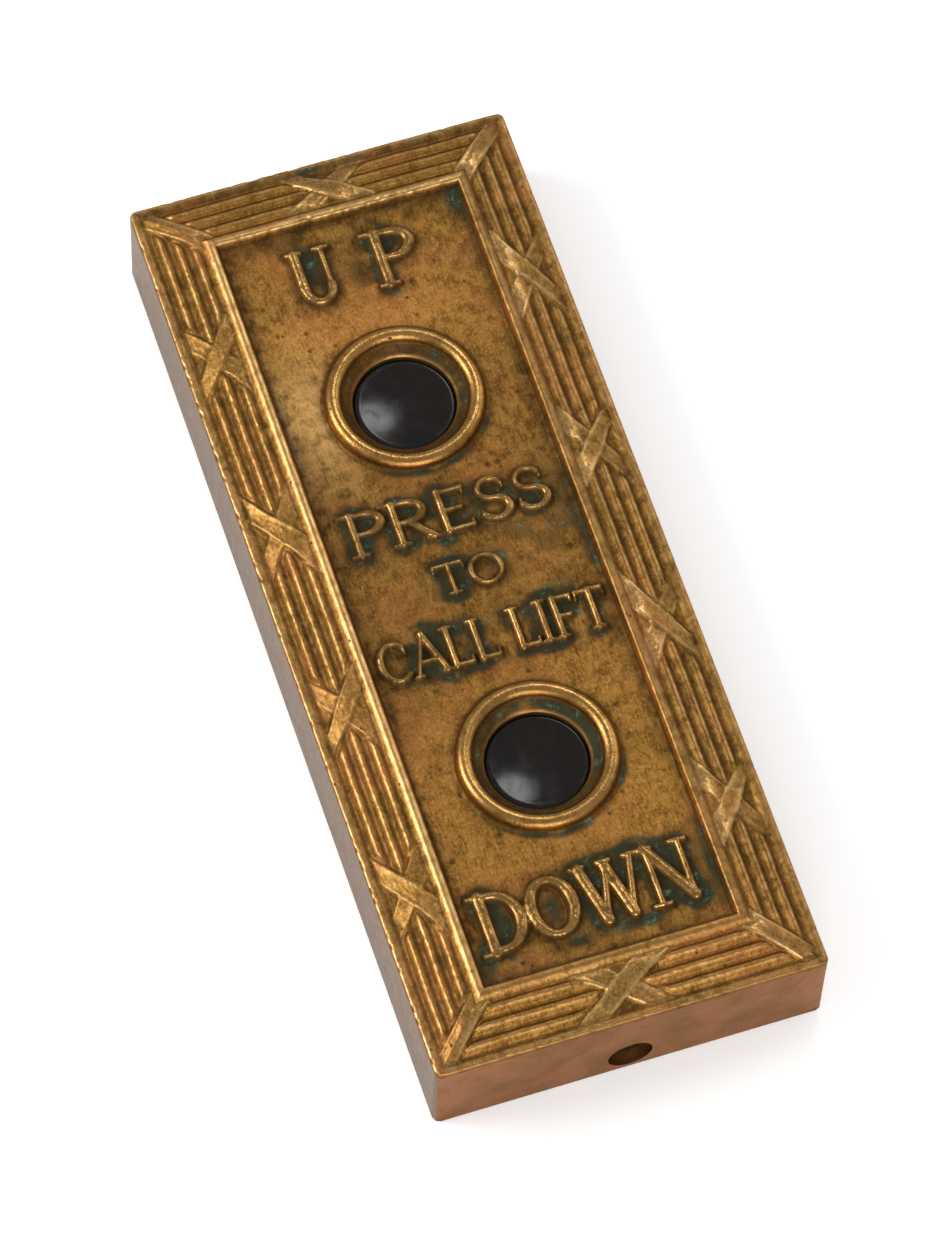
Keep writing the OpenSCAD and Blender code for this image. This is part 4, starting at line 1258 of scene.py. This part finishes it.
def moulded_skin():
    """Moulded insulation: mottled colour, fine fibres and a dull bloom."""
    group, w, given, result = skin_group(
        "moulded_skin", ("Body", "Bloom"), ("Gloss",), ("Roughness", "Height")
    )
    cloud = w.noise(w.place(1, 1, 1), 0.35, detail=6, roughness=0.6, distortion=0.5)
    fine = w.noise(w.place(1, 1, 1), 5.0, detail=3, roughness=0.6)
    bloom = w.spread(cloud * 0.7 + fine * 0.3, 0.42, 0.72, 0.0, 0.6)
    w.join(w.mix(bloom, given.body, given.bloom), result["Colour"])
    w.join((given.gloss + bloom * 0.25).clipped(), result["Roughness"])
    w.join(cloud * 0.5 + fine * 0.5, result["Height"])
    return group


def new_finish(name):
    """Empty material with a Principled shader wired to its output."""
    finish = bpy.data.materials.new(name)
    finish.use_nodes = True
    return finish, Wiring(finish.node_tree), finish.node_tree.nodes["Principled BSDF"]


def opaque(rgb, factor=1.0):
    """Colour with full alpha, its channels multiplied by a factor."""
    return (*[factor * channel for channel in rgb], 1)


SKIN_FEEDS = {
    "Base Color": "Colour", "Roughness": "Roughness", "Metallic": "Metallic", "Coat Weight": "Wax",
}


def skin_finish(name, build, inputs, settings, bump, depth, marks=()):
    """Material of a shared skin group, which is built at its first use.

    The group gets its inputs and the marks kept on a piece's points; the shader gets the group's outputs, its
    own plain settings, and a bump of the given strength and depth in millimetres.
    """
    finish, w, shader = new_finish(name)
    skin = w.node("ShaderNodeGroup", node_tree=bpy.data.node_groups.get(build.__name__) or build())
    for socket, value in inputs.items():
        w.join(value, skin.inputs[socket])
    for mark in marks:
        source = w.node("ShaderNodeAttribute", attribute_name=mark.lower())
        w.join(Value(w, source.outputs["Fac"]), skin.inputs[mark])
    for socket, output in SKIN_FEEDS.items():
        if output in skin.outputs:
            w.join(Value(w, skin.outputs[output]), shader.inputs[socket])
    for socket, value in settings.items():
        w.join(value, shader.inputs[socket])
    height = Value(w, skin.outputs["Height"])
    relief = {"Strength": bump, "Distance": depth / 1000, "Height": height}
    w.join(w.fed(w.node("ShaderNodeBump"), "Normal", relief), shader.inputs["Normal"])
    return finish


def bronze_finish(colours):
    """Aged bronze that reads the marks kept on each point of the plate's pieces."""
    inputs = {socket: opaque(getattr(colours, name)) for socket, name in BRONZE_COLOURS.items()}
    settings = {"Specular IOR Level": 0.15, "Specular Tint": (0.84, 0.78, 0.72, 1), "Coat Roughness": 0.22}
    known = bpy.data.materials.get("aged_bronze")
    return known or skin_finish(
        "aged_bronze", aged_bronze_skin, inputs, settings, bump=0.9, depth=0.11, marks=BRONZE_MARKS
    )


def metal_finish(name, metal, polish, depth=0.012):
    """Machined metal with its own colour and polish."""
    inputs = {"Metal": opaque(metal), "Tarnish": opaque(metal, 0.45), "Polish": polish}
    return skin_finish(name, machined_metal_skin, inputs, {"Metallic": 1}, bump=0.4, depth=depth)


def moulded_finish(name, body, bloom, gloss, shine=0.4, depth=0.015):
    """Moulded or pressed insulation with its own colour and gloss."""
    inputs = {"Body": opaque(body), "Bloom": opaque(bloom), "Gloss": gloss}
    return skin_finish(name, moulded_skin, inputs, {"Specular IOR Level": shine}, bump=0.3, depth=depth)


def dress(finish, slot, *names):
    """Give CAD nodes a material. The slot argument is not used."""
    for name in names:
        mesh = NODES[name].data
        mesh.materials.clear()
        mesh.materials.append(finish)


# Operators


FIELD_CUTS = (16.6, 43.0)
WORD_STEP, LEGEND_STEP = 0.12, 0.13
POLISHED_BLOOM = (0.012, 0.009, 0.007)
DULL_BLOOM = (0.04, 0.03, 0.024)
FLOOR_REACH, FLOOR_Z = 4.0, -0.0002

# Lights: name, which is also the property of its power, place and size in metres
LAMPS = (
    ("right", (0.78, 0.2, 0.5), 0.6),
    ("left", (-0.66, 0.24, 0.55), 0.5),
    ("front", (-0.1, -0.85, 0.5), 0.6),
    ("accent", (0.36, 0.52, 0.85), 0.22),
)
CAMERA_TURN = Matrix((
    (0.94868807, 0.26960966, -0.16523187),
    (-0.31503034, 0.85100214, -0.42018001),
    (0.02732809, 0.45067282, 0.8922708),
))


def plate_piece(context, name, surface, crease):
    """A piece of the bronze plate."""
    finish = bronze_finish(context.scene.call_finishes)
    new_piece(name, surface, finish, "panel", "faceplate", crease)


def both(name):
    """Names of a node of the two buttons."""
    return f"up_{name}", f"down_{name}"


class CALLPANEL_OT_border(bpy.types.Operator):
    """Make the four reeded sides with their crossing ribbons and corner bands"""

    bl_idname = "callpanel.border"
    bl_label = "Reeded border"

    def execute(self, context):
        s = plate_sizes(context)
        for side in SIDES:
            plate_piece(context, f"border_{side}", border_side(side, s), crease=50)
        return {"FINISHED"}


class CALLPANEL_OT_walls(bpy.types.Operator):
    """Make the plain side walls, with the screw holes in the end walls"""

    bl_idname = "callpanel.walls"
    bl_label = "Side walls"

    def execute(self, context):
        s = plate_sizes(context)
        for side in SIDES:
            plate_piece(context, f"wall_{side}", wall_side(side, s), crease=40)
        return {"FINISHED"}


class CALLPANEL_OT_field(bpy.types.Operator):
    """Make the field with its raised letters"""

    bl_idname = "callpanel.field"
    bl_label = "Field and letters"

    def execute(self, context):
        s = plate_sizes(context)
        lettering = millimetres(context.scene.call_letters)
        places = letter_places(lettering)
        near, far = FIELD_CUTS
        for name, low, high, step in (
            ("field_up", far, s.half_l, WORD_STEP),
            ("field_legend", -near, near, LEGEND_STEP),
            ("field_down", -s.half_l, -far, WORD_STEP),
        ):
            plate_piece(context, name, field_slab(low, high, step, places, lettering, s), crease=60)
        for (name, centre), low, high in zip(buttons(s), (near, -far), (far, -near)):
            surface = ring_slab(centre, low, high, places, lettering, s)
            plate_piece(context, f"field_{name}_ring", surface, crease=60)
        return {"FINISHED"}


class CALLPANEL_OT_rings(bpy.types.Operator):
    """Make the raised rings round the button bores"""

    bl_idname = "callpanel.rings"
    bl_label = "Button rings"

    def execute(self, context):
        s = plate_sizes(context)
        for name, centre in buttons(s):
            plate_piece(context, f"ring_{name}", ring(centre, s), crease=50)
        return {"FINISHED"}


class CALLPANEL_OT_caps(bpy.types.Operator):
    """Make the dished button caps"""

    bl_idname = "callpanel.caps"
    bl_label = "Button caps"

    def execute(self, context):
        b = millimetres(context.scene.call_buttons)
        black = context.scene.call_finishes.hard_rubber
        finish = moulded_finish("polished_hard_rubber", black, POLISHED_BLOOM, gloss=0.12, shine=0.24)
        for name, centre in buttons(plate_sizes(context)):
            body, node = f"{name}_button", f"{name}_button_cap"
            new_piece(f"cap_{name}", button_cap(centre, b), finish, body, node)
        return {"FINISHED"}


class CALLPANEL_OT_springs(bpy.types.Operator):
    """Make the return springs"""

    bl_idname = "callpanel.springs"
    bl_label = "Return springs"

    def execute(self, context):
        b = millimetres(context.scene.call_buttons)
        finish = metal_finish("spring_wire", context.scene.call_finishes.spring_steel, polish=0.3)
        for name, centre in buttons(plate_sizes(context)):
            surface = spring_tube(centre, b)
            node = f"{name}_return_spring"
            piece = new_piece(f"spring_{name}", surface, finish, "panel", node)
            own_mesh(piece)
        return {"FINISHED"}


class CALLPANEL_OT_works(bpy.types.Operator):
    """Give the base, the contacts and the moving parts their materials"""

    bl_idname = "callpanel.works"
    bl_label = "Base and contacts"

    def execute(self, context):
        c = context.scene.call_finishes
        dress(metal_finish("plated_base", c.steel, polish=0.42, depth=0.02), "base_steel", "base_plate")
        screw_steel = metal_finish("screw_steel", [0.8 * v for v in c.steel], polish=0.32)
        dress(screw_steel, "screw_steel", "edge_screws", "panel_screws", "guide_screws")
        fibre = moulded_finish("red_fibre", c.fibre, [1.6 * v for v in c.fibre], gloss=0.5)
        dress(fibre, "fibre", "insulating_panel")
        rubber = moulded_finish("soft_rubber", c.rubber, [1.8 * v for v in c.rubber], gloss=0.62)
        dress(rubber, "bushing_rubber", "wire_bushing")
        rolled = metal_finish("rolled_bronze", c.contact, polish=0.3)
        dress(rolled, "contact_bronze", *both("contact_strips"), *both("contact_disc"))
        silver = metal_finish("contact_silver", c.silver, polish=0.25)
        dress(silver, "contact_silver", *both("contact_tips"))
        brass = metal_finish("turned_brass", c.brass, polish=0.28)
        dress(brass, "brass", "terminal_washers", "terminal_screws")
        dress(brass, "brass", *both("stem"), *both("stem_nut"), *both("guide_bracket"))
        dull = moulded_finish("dull_hard_rubber", c.hard_rubber, DULL_BLOOM, gloss=0.4)
        dress(dull, "hard_rubber", *both("insulators"))
        return {"FINISHED"}


class CALLPANEL_OT_stage(bpy.types.Operator):
    """Set up the pale floor, the studio lights and the camera"""

    bl_idname = "callpanel.stage"
    bl_label = "Stage"

    def execute(self, context):
        scene = context.scene
        studio = scene.call_studio
        finish, w, shader = new_finish("pale_floor")
        speckle = w.noise(w.place(1, 1, 1), 0.02, detail=2, roughness=0.5)
        pale = w.mix(speckle, opaque(studio.floor), opaque(studio.floor, 0.985))
        settings = {"Base Color": pale, "Roughness": 0.9, "Emission Color": (1, 1, 1, 1)}
        for socket, value in {**settings, "Emission Strength": studio.glow}.items():
            w.join(value, shader.inputs[socket])
        mesh = bpy.data.meshes.new("floor")
        corners = [(-1, -1), (1, -1), (1, 1), (-1, 1)]
        mesh.from_pydata([(FLOOR_REACH * x, FLOOR_REACH * y, FLOOR_Z) for x, y in corners], [], [range(4)])
        mesh.materials.append(finish)
        floor = bpy.data.objects.new("floor", mesh)
        scene.collection.objects.link(floor)
        world = bpy.data.worlds.new("studio")
        world.use_nodes = True
        room = world.node_tree.nodes["Background"].inputs
        room["Color"].default_value = (1, 1, 1, 1)
        room["Strength"].default_value = studio.room
        scene.world = world
        for name, spot, size in LAMPS:
            lamp = bpy.data.lights.new(name, "AREA")
            lamp.shape = "DISK"
            lamp.size = size
            lamp.energy = getattr(studio, name)
            holder = bpy.data.objects.new(name, lamp)
            holder.location = spot
            holder.rotation_euler = (-Vector(spot)).to_track_quat("-Z", "Y").to_euler()
            scene.collection.objects.link(holder)
        camera = bpy.data.cameras.new("camera")
        camera.lens = studio.lens
        camera.sensor_width = 36
        camera.sensor_fit = "AUTO"
        camera.clip_start = 0.01
        viewer = bpy.data.objects.new("camera", camera)
        viewer.matrix_world = Matrix.Translation(Vector(studio.eye)) @ CAMERA_TURN.to_4x4()
        scene.collection.objects.link(viewer)
        scene.camera = viewer
        scene.view_settings.view_transform = "Standard"
        return {"FINISHED"}


OPERATORS = (
    CALLPANEL_OT_border, CALLPANEL_OT_walls, CALLPANEL_OT_field, CALLPANEL_OT_rings,
    CALLPANEL_OT_caps, CALLPANEL_OT_springs, CALLPANEL_OT_works, CALLPANEL_OT_stage,
)
GROUPS = {
    "call_plate": PlateSizes, "call_buttons": ButtonSizes, "call_letters": Lettering,
    "call_finishes": Finishes, "call_studio": Studio,
}


class CALLPANEL_PT_sidebar(bpy.types.Panel):
    """List of the panel's pieces and settings"""

    bl_label = "Call Panel"
    bl_idname = "CALLPANEL_PT_sidebar"
    bl_space_type = "VIEW_3D"
    bl_region_type = "UI"
    bl_category = "Call Panel"

    def draw(self, context):
        for operator in OPERATORS:
            self.layout.operator(operator.bl_idname)
        for name in GROUPS:
            box = self.layout.box()
            group = getattr(context.scene, name)
            for prop in own_properties(group):
                box.prop(group, prop.identifier)


CLASSES = (*GROUPS.values(), *OPERATORS, CALLPANEL_PT_sidebar)


def register():
    """Register the classes and keep the settings on the scene."""
    for cls in CLASSES:
        bpy.utils.register_class(cls)
    for name, cls in GROUPS.items():
        setattr(bpy.types.Scene, name, PointerProperty(type=cls))


def unregister():
    """Take the settings and the classes away again."""
    for name in GROUPS:
        delattr(bpy.types.Scene, name)
    for cls in reversed(CLASSES):
        bpy.utils.unregister_class(cls)


def main():
    """Build every piece in order."""
    register()
    bpy.ops.callpanel.border()
    bpy.ops.callpanel.walls()
    bpy.ops.callpanel.field()
    bpy.ops.callpanel.rings()
    bpy.ops.callpanel.caps()
    bpy.ops.callpanel.springs()
    bpy.ops.callpanel.works()
    bpy.ops.callpanel.stage()


if __name__ == "__main__":
    main()
